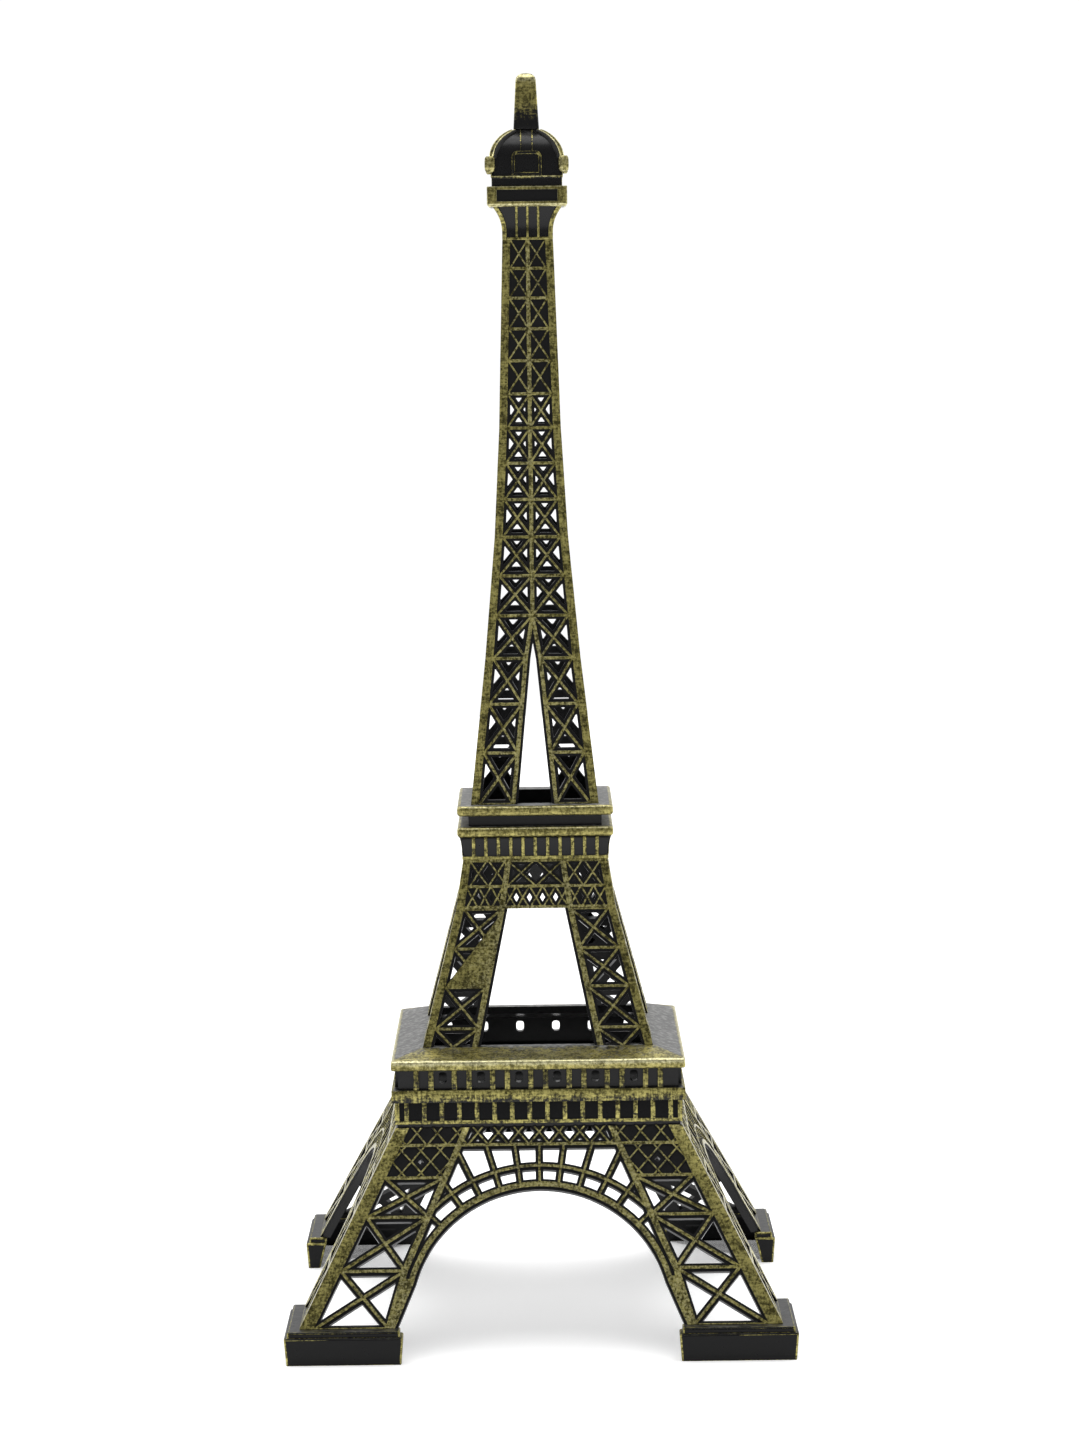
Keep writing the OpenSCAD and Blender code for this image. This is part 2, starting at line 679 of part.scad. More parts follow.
module shaft_lattice(g) {
  f = upright;
  ends = [0, 3, low_cells, shaft_cells];          // the centre chord bends at these horizontals
  outline = [for (k = facet_cells) [shaft_strip_x(shaft_level(k)) - g, shaft_level(k)]];
  for (s = [-1, 1]) {
    polygon([for (p = concat([[outline[0][0], shaft_z - 1]], outline, [[outline[4][0], head_z + 1]],
                             [[reach, head_z + 1], [reach, shaft_z - 1]])) [s * p[0], p[1]]]);
    for (i = [0:2])
      bar(f, s * shaft_chord_x(shaft_level(ends[i])), shaft_level(ends[i]),
          s * shaft_chord_x(shaft_level(ends[i + 1])), shaft_level(ends[i + 1]), 0.6 + 2 * g);
    for (k = [0:shaft_cells - 1]) {
      z0 = shaft_level(k);
      z1 = shaft_level(k + 1);
      cross(f, [s * shaft_chord_x(z0), s * shaft_strip_x(z0)], z0,
            [s * shaft_chord_x(z1), s * shaft_strip_x(z1)], z1,
            bar_w * (1 - bar_taper * k / shaft_cells) + 2 * g);
      bar(f, s * shaft_chord_x(z0), z0, s * shaft_strip_x(z0), z0, bar_w * 1.2 + 2 * g);
    }
  }
}

// the front of the shaft between two depths under its surface, wherever the child's elevation is solid
module shaft_skin(depth, back_depth) {
  front = concat([[facet_halves[0], shaft_z - 1]],
                 [for (i = [0:4]) [facet_halves[i], shaft_level(facet_cells[i])]],
                 [[facet_halves[4], head_z + 1]]);
  n = len(front);
  intersection() {
    quarter(shaft_z, head_z);
    rotate([90, 0, 90]) translate([0, 0, -reach]) linear_extrude(2 * reach)
      polygon(concat([for (p = front) [depth - p[0], p[1]]],
                     [for (i = [n - 1:-1:0]) [back_depth - front[i][0], front[i][1]]]));
    rotate([90, 0, 0]) linear_extrude(reach) children();
  }
}

module shaft_side() {
  closed_z = shaft_level(open_cells);             // the web is closed behind the uppermost cells
  color("olivedrab") {
    shaft_skin(bar_rise, side_t) {
      shaft_lattice(web_reach);
      translate([-reach, closed_z]) square([2 * reach, head_z + 1 - closed_z]);
    }
    shaft_skin(0, bar_rise + 0.1) shaft_lattice(0);
    shaft_tab(0);
  }
}

module shaft_side_front() { shaft_side(); }
module shaft_side_right() { rotate(90) shaft_side(); }
module shaft_side_back() { rotate(180) shaft_side(); }
module shaft_side_left() { rotate(270) shaft_side(); }

// ---- lantern ----

head_foot_half = facet_halves[4];

module shaft_head() {
  flare_z = head_z + 1.2;
  widening = gallery_half - 0.6 - head_foot_half;
  profile = [for (i = [0:8]) let (t = i / 8)
              [head_foot_half + widening * t * t, flare_z + (box_z - flare_z) * t]];
  inset = 0.25;
  color("olive") {
    // the recessed field, with strips at the corners and three ribs on each side
    square_solid(concat([[head_foot_half - inset, head_z]], [for (p = profile) [p[0] - inset, p[1]]]));
    four_sides() intersection() {
      square_solid(concat([[head_foot_half, head_z]], profile));
      union() {
        post_row(3, 1.55, 0.4, head_z, head_h, reach, reach);
        for (s = [-1, 1]) for (p = [for (i = [0:7]) [profile[i], profile[i + 1]]])
          translate([s * p[0][0] - 0.5, -reach, p[0][1]]) cube([1, reach, p[1][1] - p[0][1]]);
        for (s = [-1, 1]) translate([s * head_foot_half - 0.5, -reach, head_z])
          cube([1, reach, flare_z - head_z]);
        translate([-reach, -reach, head_z]) cube([2 * reach, reach, 0.4]);
      }
    }
    // the spigot inside the shaft's top
    plug_half = head_foot_half - side_t - 0.15;
    square_solid([[plug_half, head_z - 3], [plug_half, head_z + 0.5]]);
  }
}

module top_gallery() {
  frame = 0.45;
  recess = 0.5;
  rim = 0.5;
  color("darkkhaki") difference() {
    square_solid([[gallery_half - rim, box_z - 0.3], [gallery_half, box_z], [gallery_half, drum_z]]);
    four_sides() translate([-4.4, -gallery_half - 1, box_z + frame])
      cube([8.8, 1 + recess, gallery_h - 2 * frame]);
    square_solid([[gallery_half - rim, box_z - 1], [gallery_half - rim, box_z]]);
    translate([-2.5, -2.5, drum_z - 1.5]) cube([5, 5, 3]);
  }
}

module lantern_drum() {
  color("olive") {
    square_solid([[dome_half, drum_z], [dome_half, drum_z + drum_h - 0.2], [dome_half + 0.12, dome_z - 0.2],
                  [dome_half + 0.12, dome_z]]);
    // the square plug in the gallery's pocket
    translate([-2.45, -2.45, drum_z - 1.45]) cube([4.9, 4.9, 2]);
  }
}

dome_wall_h = 2.2;                                // upright foot of the dome
dome_top_angle = acos(spire_half / dome_half);    // the dome's ellipse ends where it meets the spire
dome_rise = (dome_h - dome_wall_h) / sin(dome_top_angle);
lug_z = dome_z + 0.5;
lug_top_z = dome_z + 2.75;

// the dome's outline: an upright foot, then an ellipse about the tower's axis up to the spire
function dome_outline(grow) = concat([[dome_half + grow, dome_z]],
  [for (i = [0:12]) let (a = dome_top_angle * i / 12)
    [(dome_half + grow) * cos(a), dome_z + dome_wall_h + (dome_rise + grow) * sin(a)]]);

module lantern_dome() {
  neck = spire_half - 0.1;
  color("darkslategray") difference() {
    union() {
      square_solid(dome_outline(-0.3));
      square_solid([[neck, spire_z - 1], [neck, spire_z]]);
    }
    translate([0, 0, spire_z - 3]) cylinder(h = 5, r = 1 + seat_gap / 2);
  }
}

// four arched ribs over the dome's corners, from the lugs up to the spire
module dome_ribs() {
  rib_w = 0.95;
  color("darkkhaki") difference() {
    intersection() {
      square_solid(dome_outline(0.1));
      for (a = [45, 135]) rotate(a) translate([-reach, -rib_w / 2, lug_top_z]) cube([2 * reach, rib_w, reach]);
    }
    square_solid(dome_outline(-0.3));
    translate([-spire_half, -spire_half, spire_z - 3]) cube([2 * spire_half, 2 * spire_half, 10]);
  }
}

// four lugs on the dome's corners, under the ribs
module dome_lugs() {
  lug = 0.9;
  proud = 0.95;
  color("darkkhaki") four_sides() difference() {
    translate([-dome_half - proud, -dome_half - proud, lug_z])
      cube([lug + proud, lug + proud, lug_top_z - lug_z]);
    square_solid([[dome_half - 0.3, dome_z - 1], [dome_half - 0.3, spire_z]]);
  }
}

// a rounded cabin door in relief on each side of the dome, with a stem up to the spire
module lantern_doors() {
  door_w = 4.4;
  door_h = 3.4;
  stem_w = 1.9;
  color("darkslategray") four_sides() difference() {
    union() {
      translate([-door_w / 2, -dome_half - 0.15, dome_z]) cube([door_w, 2, door_h]);
      translate([-stem_w / 2, -dome_half, dome_z + door_h - 0.1])
        cube([stem_w, dome_half - spire_half, spire_z - dome_z - door_h - 0.3]);
    }
    square_solid(dome_outline(-0.3));
    intersection() {
      translate([-reach, -reach, dome_z + door_h]) cube([2 * reach, 2 * reach, reach]);
      difference() {
        translate([-reach, -reach, 0]) cube([2 * reach, 2 * reach, 200]);
        square_solid(dome_outline(-0.05));
      }
    }
    translate([-door_w / 2 + 0.6, -dome_half - 1, dome_z + 0.4]) cube([door_w - 1.2, 1, door_h - 1]);
  }
}

module spire() {
  tip_half = spire_half - 0.4;
  round_h = 1;
  color("darkkhaki") {
    square_solid(concat([[spire_half, spire_z], [tip_half, spire_z + spire_h - round_h]],
      [for (i = [1:5]) [tip_half * cos(18 * i) + 0.02, spire_z + spire_h - round_h + round_h * sin(18 * i)]]));
    translate([0, 0, spire_z - 2.8]) cylinder(h = 3, r = 1);
  }
}

foot_front_left();
foot_front_right();
foot_back_right();
foot_back_left();
lower_side_front();
lower_side_right();
lower_side_back();
lower_side_left();
first_frieze();
first_arcade();
first_roof();
middle_side_front();
middle_side_right();
middle_side_back();
middle_side_left();
second_corbel();
second_gallery();
second_ledge();
shaft_side_front();
shaft_side_right();
shaft_side_back();
shaft_side_left();
shaft_head();
top_gallery();
lantern_drum();
lantern_dome();
dome_ribs();
dome_lugs();
lantern_doors();
spire();
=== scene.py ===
"""Looks of a cast lattice tower, a desk ornament in antique bronze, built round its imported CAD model.

Every piece is placed by the frame: heights come from the boxes of the CAD nodes, and the set-backs and bar
widths of the castings are fields of the class that builds them. Sizes are in millimetres, and each helper
that makes or moves a mesh turns them into metres. The front of the tower looks to -Y.
"""

import logging
import math
from dataclasses import dataclass
from enum import Enum
from typing import Callable, Sequence

import bmesh
import bpy
from mathutils import Matrix, Vector, noise


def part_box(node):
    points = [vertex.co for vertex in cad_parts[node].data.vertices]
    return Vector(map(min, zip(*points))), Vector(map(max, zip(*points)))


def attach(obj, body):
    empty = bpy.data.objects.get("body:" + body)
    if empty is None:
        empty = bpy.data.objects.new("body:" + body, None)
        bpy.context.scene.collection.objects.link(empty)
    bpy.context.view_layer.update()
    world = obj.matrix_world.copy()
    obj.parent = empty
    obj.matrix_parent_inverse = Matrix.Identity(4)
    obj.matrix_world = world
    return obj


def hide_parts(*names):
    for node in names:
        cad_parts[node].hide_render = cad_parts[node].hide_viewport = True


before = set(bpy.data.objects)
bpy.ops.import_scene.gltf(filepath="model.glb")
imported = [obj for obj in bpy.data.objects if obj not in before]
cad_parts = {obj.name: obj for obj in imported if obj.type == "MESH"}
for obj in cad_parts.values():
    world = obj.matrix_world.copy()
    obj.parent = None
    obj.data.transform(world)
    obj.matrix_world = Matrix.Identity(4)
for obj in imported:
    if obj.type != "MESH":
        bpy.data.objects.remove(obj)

log = logging.getLogger("tower")

MM = 0.001
BODY = "root"
# per-point value: how much of the patina is gone, and above 1 a painted highlight
WEAR_AND_HIGHLIGHT = "relief"
SIDES = ("front", "right", "back", "left")

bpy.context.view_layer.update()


class Part(Enum):
    """The kind of mesh element that an edit picks."""

    VERTS = "VERT"
    EDGES = "EDGE"
    FACES = "FACE"


# ---- modelling helpers ----


def deselect_all() -> None:
    """Leaves edit mode and deselects every object."""
    if bpy.context.object is not None and bpy.context.object.mode != "OBJECT":
        bpy.ops.object.mode_set(mode="OBJECT")
    bpy.ops.object.select_all(action="DESELECT")


def edit(piece: bpy.types.Object) -> None:
    """Opens one piece in edit mode, with all of its mesh selected."""
    deselect_all()
    bpy.context.view_layer.objects.active = piece
    piece.select_set(True)
    bpy.ops.object.mode_set(mode="EDIT")
    bpy.ops.mesh.select_all(action="SELECT")


def pick(piece: bpy.types.Object, part: Part, test: Callable[..., bool]) -> int:
    """Selects the elements of a piece in edit mode that pass a test, and nothing else.

    Args:
        piece: The piece that is open in edit mode.
        part: The kind of element that the test looks at.
        test: Takes one element and says whether to select it.

    Returns:
        The number of elements that passed.
    """
    bpy.ops.mesh.select_mode(type=part.value)
    mesh = bmesh.from_edit_mesh(piece.data)
    for item in (*mesh.verts, *mesh.edges, *mesh.faces):
        item.select = False
    items = {Part.VERTS: mesh.verts, Part.EDGES: mesh.edges, Part.FACES: mesh.faces}[part]
    chosen = [item for item in items if test(item)]
    for item in chosen:
        item.select_set(True)
    bmesh.update_edit_mesh(piece.data)
    return len(chosen)


def is_sharp(edge: bmesh.types.BMEdge, angle: float = 30.0) -> bool:
    """Says whether two faces meet at an edge at more than an angle in degrees."""
    return len(edge.link_faces) == 2 and edge.calc_face_angle() > math.radians(angle)


def soften(piece: bpy.types.Object, width: float, segments: int, test: Callable[..., bool],
           bevel_wear_and_highlight: float | None = None, clamp: bool = True) -> None:
    """Bevels the edges of a piece that pass a test.

    Args:
        piece: The piece to soften.
        width: Width of the bevel, in millimetres.
        segments: Number of faces across the bevel.
        test: Takes an edge and says whether to bevel it.
        bevel_wear_and_highlight: How much of the patina comes off the new bevels, above 1 with a painted highlight, or
            None to leave them as they are.
        clamp: Whether the whole bevel shrinks to suit the shortest edge and its ends slide along other edges.
    """
    edit(piece)
    if pick(piece, Part.EDGES, test):
        bpy.ops.mesh.bevel(offset=width * MM, offset_type="OFFSET", segments=segments, profile=0.5,
                           affect="EDGES", clamp_overlap=clamp, loop_slide=clamp)
        if bevel_wear_and_highlight is not None:
            mesh = bmesh.from_edit_mesh(piece.data)
            layer = mesh.verts.layers.float.get(WEAR_AND_HIGHLIGHT) or mesh.verts.layers.float.new(WEAR_AND_HIGHLIGHT)
            mesh = bmesh.from_edit_mesh(piece.data)
            for vert in mesh.verts:
                if vert.select:
                    vert[layer] = max(vert[layer], bevel_wear_and_highlight)
            bmesh.update_edit_mesh(piece.data)
    bpy.ops.object.mode_set(mode="OBJECT")


def paint_relief(piece: bpy.types.Object, rule: Callable[[Vector], float]) -> None:
    """Stores on each point how much of the patina is gone: 0 in a recess, 1 on bare metal, and above 1 a painted
    highlight.

    Args:
        piece: The piece to paint.
        rule: Takes a point in millimetres and returns the value; a value that a bevel left there stays if higher.
    """
    mesh = piece.data
    layer = mesh.attributes.get(WEAR_AND_HIGHLIGHT) or mesh.attributes.new(WEAR_AND_HIGHLIGHT, "FLOAT", "POINT")
    for vert, item in zip(mesh.vertices, layer.data):
        item.value = max(item.value, rule(vert.co / MM))


def panel(piece: bpy.types.Object, width: float, relief: float, test: Callable[..., bool]) -> None:
    """Insets faces of a piece one by one, so that their middles can be painted apart from their rims.

    Args:
        piece: The piece.
        width: Width of the rim, in millimetres.
        relief: Value to paint on the middles.
        test: Takes a face and says whether to inset it.
    """
    edit(piece)
    if pick(piece, Part.FACES, test):
        bpy.ops.mesh.inset(thickness=width * MM, depth=0, use_individual=True, use_even_offset=False)
        mesh = bmesh.from_edit_mesh(piece.data)
        if mesh.verts.layers.float.get(WEAR_AND_HIGHLIGHT) is None:
            mesh.verts.layers.float.new(WEAR_AND_HIGHLIGHT)
            mesh = bmesh.from_edit_mesh(piece.data)
        layer = mesh.verts.layers.float[WEAR_AND_HIGHLIGHT]
        for vert in mesh.verts:
            if vert.select:
                vert[layer] = relief
        bmesh.update_edit_mesh(piece.data)
    bpy.ops.object.mode_set(mode="OBJECT")


def casting_copy(node: str, name: str) -> bpy.types.Object:
    """Copies a CAD node's mesh into a piece of its own, with its loose triangles merged into clean faces.

    Args:
        node: Name of the CAD node.
        name: Name of the new piece.

    Returns:
        The new piece, which stands for the CAD node.
    """
    deselect_all()
    piece = bpy.data.objects.new(name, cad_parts[node].data.copy())
    bpy.context.scene.collection.objects.link(piece)
    piece.data.materials.clear()
    piece.select_set(True)
    bpy.context.view_layer.objects.active = piece
    bpy.ops.mesh.customdata_custom_splitnormals_clear()
    edit(piece)
    bpy.ops.mesh.remove_doubles(threshold=0.002 * MM)
    bpy.ops.mesh.dissolve_limited(angle_limit=math.radians(0.5))
    bpy.ops.object.mode_set(mode="OBJECT")
    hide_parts(node)
    return piece


def turned_copy(piece: bpy.types.Object, name: str, quarter_turns: int) -> bpy.types.Object:
    """Copies a piece with its own mesh and turns the copy about the tower's axis.

    Args:
        piece: The piece to copy.
        name: Name of the copy.
        quarter_turns: Number of quarter turns, anticlockwise from above.

    Returns:
        The copy.
    """
    copy = bpy.data.objects.new(name, piece.data.copy())
    bpy.context.scene.collection.objects.link(copy)
    copy.data.transform(Matrix.Rotation(math.radians(90 * quarter_turns), 4, "Z"))
    return copy


def join(pieces: Sequence[bpy.types.Object]) -> bpy.types.Object:
    """Joins pieces into the first of them and returns it."""
    deselect_all()
    for piece in pieces:
        piece.select_set(True)
    bpy.context.view_layer.objects.active = pieces[0]
    bpy.ops.object.join()
    return pieces[0]


def on_four_sides(piece: bpy.types.Object) -> bpy.types.Object:
    """Repeats a piece on all four sides of the tower, as one piece, and returns it."""
    return join([piece] + [turned_copy(piece, f"{piece.name}_{turns}", turns) for turns in (1, 2, 3)])


def wire(name: str, points: Sequence[Vector], filled: bool) -> bpy.types.Object:
    """Adds a circle and draws its points onto an outline.

    Args:
        name: Name of the new piece.
        points: The outline, in millimetres.
        filled: Whether the outline has a face.

    Returns:
        The piece, open in edit mode with all of it selected.
    """
    deselect_all()
    bpy.ops.mesh.primitive_circle_add(vertices=len(points), fill_type="NGON" if filled else "NOTHING")
    piece = bpy.context.object
    piece.name = name
    for vert, point in zip(piece.data.vertices, points):
        vert.co = point * MM
    edit(piece)
    return piece


def clean(piece: bpy.types.Object) -> None:
    """Merges doubled points, turns all faces outwards and leaves edit mode."""
    bpy.ops.mesh.select_all(action="SELECT")
    bpy.ops.mesh.remove_doubles(threshold=0.002 * MM)
    bpy.ops.mesh.normals_make_consistent(inside=False)
    bpy.ops.object.mode_set(mode="OBJECT")


def loft(name: str, sections: Sequence[Sequence[Vector]]) -> bpy.types.Object:
    """Models a solid by extruding an outline again and again, each time onto the next section.

    Args:
        name: Name of the new piece.
        sections: The outlines, in millimetres, all with the same number of points.

    Returns:
        The piece.
    """
    piece = wire(name, sections[0], True)
    for last, section in zip(sections, sections[1:]):
        bpy.ops.mesh.extrude_region_move()
        mesh = bmesh.from_edit_mesh(piece.data)
        for vert in mesh.verts:
            if vert.select:
                place = vert.co / MM
                vert.co = section[min(range(len(last)), key=lambda i: (last[i] - place).length)] * MM
        bmesh.update_edit_mesh(piece.data)
    clean(piece)
    return piece


def square_turn(name: str, outline: Sequence[tuple[float, float]], closed: bool) -> bpy.types.Object:
    """Models a square ring or cap by spinning its outline round the tower's axis in four steps.

    Args:
        name: Name of the new piece.
        outline: Half-width and height of each point at the tower's corner, in millimetres.
        closed: Whether the outline is a loop, which makes a ring; else both its ends lie on the axis.

    Returns:
        The piece.
    """
    piece = wire(name, [Vector((half, -half, z)) for half, z in outline], False)
    if not closed:
        ends = {0, len(outline) - 1}
        pick(piece, Part.EDGES, lambda edge: {vert.index for vert in edge.verts} == ends)
        bpy.ops.mesh.delete(type="EDGE")
        bpy.ops.mesh.select_all(action="SELECT")
    bpy.ops.mesh.spin(steps=4, angle=math.tau, center=(0, 0, 0), axis=(0, 0, 1))
    clean(piece)
    return piece


def square(half: float, z: float, middle: tuple[float, float] = (0, 0)) -> list[Vector]:
    """Returns the corners of a level square about a middle, in millimetres."""
    return [Vector((middle[0] + x * half, middle[1] + y * half, z)) for x, y in ((-1, -1), (1, -1), (1, 1), (-1, 1))]


def keep_inside(piece: bpy.types.Object, node: str) -> None:
    """Moves points of a piece that bevelling pushed out of its CAD node's box back onto the box."""
    low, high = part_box(node)
    for vert in piece.data.vertices:
        vert.co = [min(max(value, least), most) for value, least, most in zip(vert.co, low, high)]


def wobble(piece: bpy.types.Object, amount: float = 0.06) -> None:
    """Pushes the points of a piece about a little, as the mould did, without opening its seams with its neighbours."""
    for vert in piece.data.vertices:
        push = noise.noise_vector(vert.co / MM * 0.4)
        vert.co += Vector((push.x, push.y, 0)) * amount * MM


def shade(piece: bpy.types.Object, angle: float = 35.0) -> None:
    """Smooths the shading of a piece up to an angle in degrees."""
    deselect_all()
    bpy.context.view_layer.objects.active = piece
    piece.select_set(True)
    bpy.ops.object.shade_smooth_by_angle(angle=math.radians(angle))


def square_reach(point: Vector) -> float:
    """Returns the half-width of the square about the tower's axis that a point lies on."""
    return max(abs(point.x), abs(point.y))


# ---- materials ----


class NodeTree:
    """Adds and links shader nodes in one tree, which keeps the material code short."""

    def __init__(self, tree: bpy.types.NodeTree) -> None:
        """Takes the tree to build in."""
        self.tree = tree

    def add(self, kind: str, inputs: dict | None = None, **settings: object) -> bpy.types.Node:
        """Adds a node.

        Args:
            kind: The node's type name.
            inputs: Values or output sockets for its inputs, by socket name or number.
            **settings: Properties of the node itself.

        Returns:
            The new node.
        """
        node = self.tree.nodes.new(kind)
        for key, value in settings.items():
            setattr(node, key, value)
        for key, value in (inputs or {}).items():
            if isinstance(value, bpy.types.NodeSocket):
                self.tree.links.new(value, node.inputs[key])
            else:
                node.inputs[key].default_value = value
        return node

    def math(self, operation: str, a: object, b: object = 0.0, clamp: bool = False) -> bpy.types.NodeSocket:
        """Adds a math node on two values or sockets and returns its output."""
        return self.add("ShaderNodeMath", {0: a, 1: b}, operation=operation, use_clamp=clamp).outputs[0]

    def ramp(self, value: object, low: float, high: float, to_low: object = 0.0, to_high: object = 1.0,
             smooth: bool = True) -> bpy.types.NodeSocket:
        """Adds a map range from low..high to to_low..to_high, clamped, and returns its output."""
        kind = "SMOOTHSTEP" if smooth else "LINEAR"
        return self.add("ShaderNodeMapRange", {0: value, 1: low, 2: high, 3: to_low, 4: to_high},
                        interpolation_type=kind).outputs[0]

    def noise(self, vector: object, scale: float, detail: float = 2.0, rough: float = 0.5) -> bpy.types.NodeSocket:
        """Adds a noise texture at features per millimetre and returns its value."""
        return self.add("ShaderNodeTexNoise", {"Vector": vector, "Scale": scale, "Detail": detail,
                                               "Roughness": rough}).outputs[0]

    def mix(self, share: object, a: object, b: object) -> bpy.types.NodeSocket:
        """Adds a colour mix and returns its output."""
        node = self.add("ShaderNodeMix", data_type="RGBA")
        for index, value in ((0, share), (6, a), (7, b)):
            if isinstance(value, bpy.types.NodeSocket):
                self.tree.links.new(value, node.inputs[index])
            else:
                node.inputs[index].default_value = value
        return node.outputs[2]


def new_group(name: str, inputs: Sequence[tuple[str, str, object]],
              outputs: Sequence[tuple[str, str]]) -> tuple[NodeTree, dict, bpy.types.Node]:
    """Starts a shader node group.

    Args:
        name: Name of the group.
        inputs: Name, socket type and default of each input.
        outputs: Name and socket type of each output.

    Returns:
        The group's tree, its input sockets by name, and its output node.
    """
    group = bpy.data.node_groups.new(name, "ShaderNodeTree")
    for label, kind, default in inputs:
        socket = group.interface.new_socket(name=label, in_out="INPUT", socket_type=kind)
        if default is not None:
            socket.default_value = default
    for label, kind in outputs:
        group.interface.new_socket(name=label, in_out="OUTPUT", socket_type=kind)
    tree = NodeTree(group)
    start = tree.add("NodeGroupInput")
    end = tree.add("NodeGroupOutput")
    return tree, {socket.name: socket for socket in start.outputs}, end


FLOAT, VECTOR = "NodeSocketFloat", "NodeSocketVector"


def rubbed_metal_and_highlight_group() -> bpy.types.NodeTree:
    """Makes the group that says where polishing has taken the black patina off the metal, and where a highlight is
    painted on.

    Returns:
        The group. Its mask is 1 on bare metal, its tone goes from 0 where the metal is dull to 1 where it is bare,
        and its painted highlight is 1 on the edges that carry the highest values.
    """
    tree, given, end = new_group(
        "rubbed_metal_and_highlight",
        [("Point", VECTOR, None), ("Wear and highlight", FLOAT, 0.5), ("Coverage", FLOAT, 0.5), ("Break-up", FLOAT, 0.3),
         ("Hatching", FLOAT, 0.5)],
        [("Mask", FLOAT), ("Tone", FLOAT), ("Painted highlight", FLOAT)])
    patches = tree.math("SUBTRACT", tree.noise(given["Point"], 0.45, 3.0, 0.6), 0.5)
    mottle = tree.math("SUBTRACT", tree.noise(given["Point"], 2.6, 3.0, 0.65), 0.5)
    strokes = None
    scratches = None
    # strokes that run up the castings and strokes that run round them, as a brush leaves them
    for stretch in ((3.4, 3.4, 0.5), (0.5, 0.5, 3.4)):
        squeezed = tree.add("ShaderNodeVectorMath", {0: given["Point"], 1: stretch}, operation="MULTIPLY").outputs[0]
        stroke = tree.math("SUBTRACT", tree.noise(squeezed, 1.0, 2.0, 0.55), 0.5)
        scratch = tree.ramp(tree.math("ABSOLUTE", stroke), 0.0, 0.035, 1.0, 0.0)
        strokes = stroke if strokes is None else tree.math("ADD", strokes, stroke)
        scratches = scratch if scratches is None else tree.math("MAXIMUM", scratches, scratch)
    uneven = tree.math("ADD", tree.math("ADD", tree.math("MULTIPLY", patches, 0.7), tree.math("MULTIPLY", mottle, 1.3)),
                       tree.math("MULTIPLY", strokes, given["Hatching"]))
    level = tree.math("ADD", given["Wear and highlight"], tree.math("MULTIPLY", uneven, given["Break-up"]))
    mask = tree.ramp(tree.math("SUBTRACT", level, tree.math("SUBTRACT", 1.0, given["Coverage"])), -0.12, 0.12)
    cut = tree.math("MULTIPLY", tree.math("MULTIPLY", scratches, given["Hatching"]),
                    tree.ramp(given["Wear and highlight"], 1.05, 1.3, 0.75, 0.2))
    mask = tree.math("MULTIPLY", mask, tree.math("SUBTRACT", 1.0, cut))
    tone = tree.ramp(tree.math("ADD", tree.math("MULTIPLY", uneven, 1.5), 0.5), 0.1, 0.9)
    # painted highlight: a pale colour where the stored value runs above 1.05
    painted_highlight = tree.ramp(tree.math("ADD", given["Wear and highlight"], tree.math("MULTIPLY", mottle, 0.5)), 1.05, 1.45)
    tree.tree.links.new(mask, end.inputs["Mask"])
    tree.tree.links.new(tone, end.inputs["Tone"])
    tree.tree.links.new(painted_highlight, end.inputs["Painted highlight"])
    return tree.tree


def cast_skin_group() -> bpy.types.NodeTree:
    """Makes the group for the skin of the cast metal: a low ripple, a fine grain and a few pits.

    Returns:
        The group. Its height is about 0 to 1, and its pits are 1 at the bottom of a pit.
    """
    tree, given, end = new_group("cast_skin", [("Point", VECTOR, None), ("Grain", FLOAT, 0.5)],
                                 [("Height", FLOAT), ("Pits", FLOAT)])
    ripple = tree.noise(given["Point"], 0.8, 2.0, 0.5)
    grain = tree.noise(given["Point"], 4.5, 3.0, 0.6)
    cells = tree.add("ShaderNodeTexVoronoi", {"Vector": given["Point"], "Scale": 1.2}).outputs["Distance"]
    pits = tree.ramp(cells, 0.06, 0.13, 1.0, 0.0)
    rough = tree.math("ADD", tree.math("MULTIPLY", ripple, 0.6), tree.math("MULTIPLY", grain, given["Grain"]))
    tree.tree.links.new(tree.math("SUBTRACT", rough, tree.math("MULTIPLY", pits, 0.35)), end.inputs["Height"])
    tree.tree.links.new(pits, end.inputs["Pits"])
    return tree.tree


def painted_reflection_group() -> bpy.types.NodeTree:
    """Makes the group for the painted reflection: a grey, in patches, on faces that look up.

    Returns:
        The group. Its mask is 0 to 1.
    """
    tree, given, end = new_group("painted_up_reflection", [("Point", VECTOR, None), ("Amount", FLOAT, 0.3)], [("Mask", FLOAT)])
    normal = tree.add("ShaderNodeNewGeometry").outputs["Normal"]
    up = tree.add("ShaderNodeSeparateXYZ", {0: normal}).outputs["Z"]
    patches = tree.noise(given["Point"], 1.3, 3.0, 0.6)
    # painted reflection: grey on faces that look up, broken into patches
    mask = tree.math("MULTIPLY", tree.ramp(up, 0.35, 1.0), tree.ramp(patches, 0.35, 0.7))
    tree.tree.links.new(tree.math("MULTIPLY", mask, given["Amount"]), end.inputs["Mask"])
    return tree.tree


GROUPS = {"rubbed_metal_and_highlight": rubbed_metal_and_highlight_group(), "cast_skin": cast_skin_group(),
          "painted_up_reflection": painted_reflection_group()}

Colour = tuple[float, float, float]


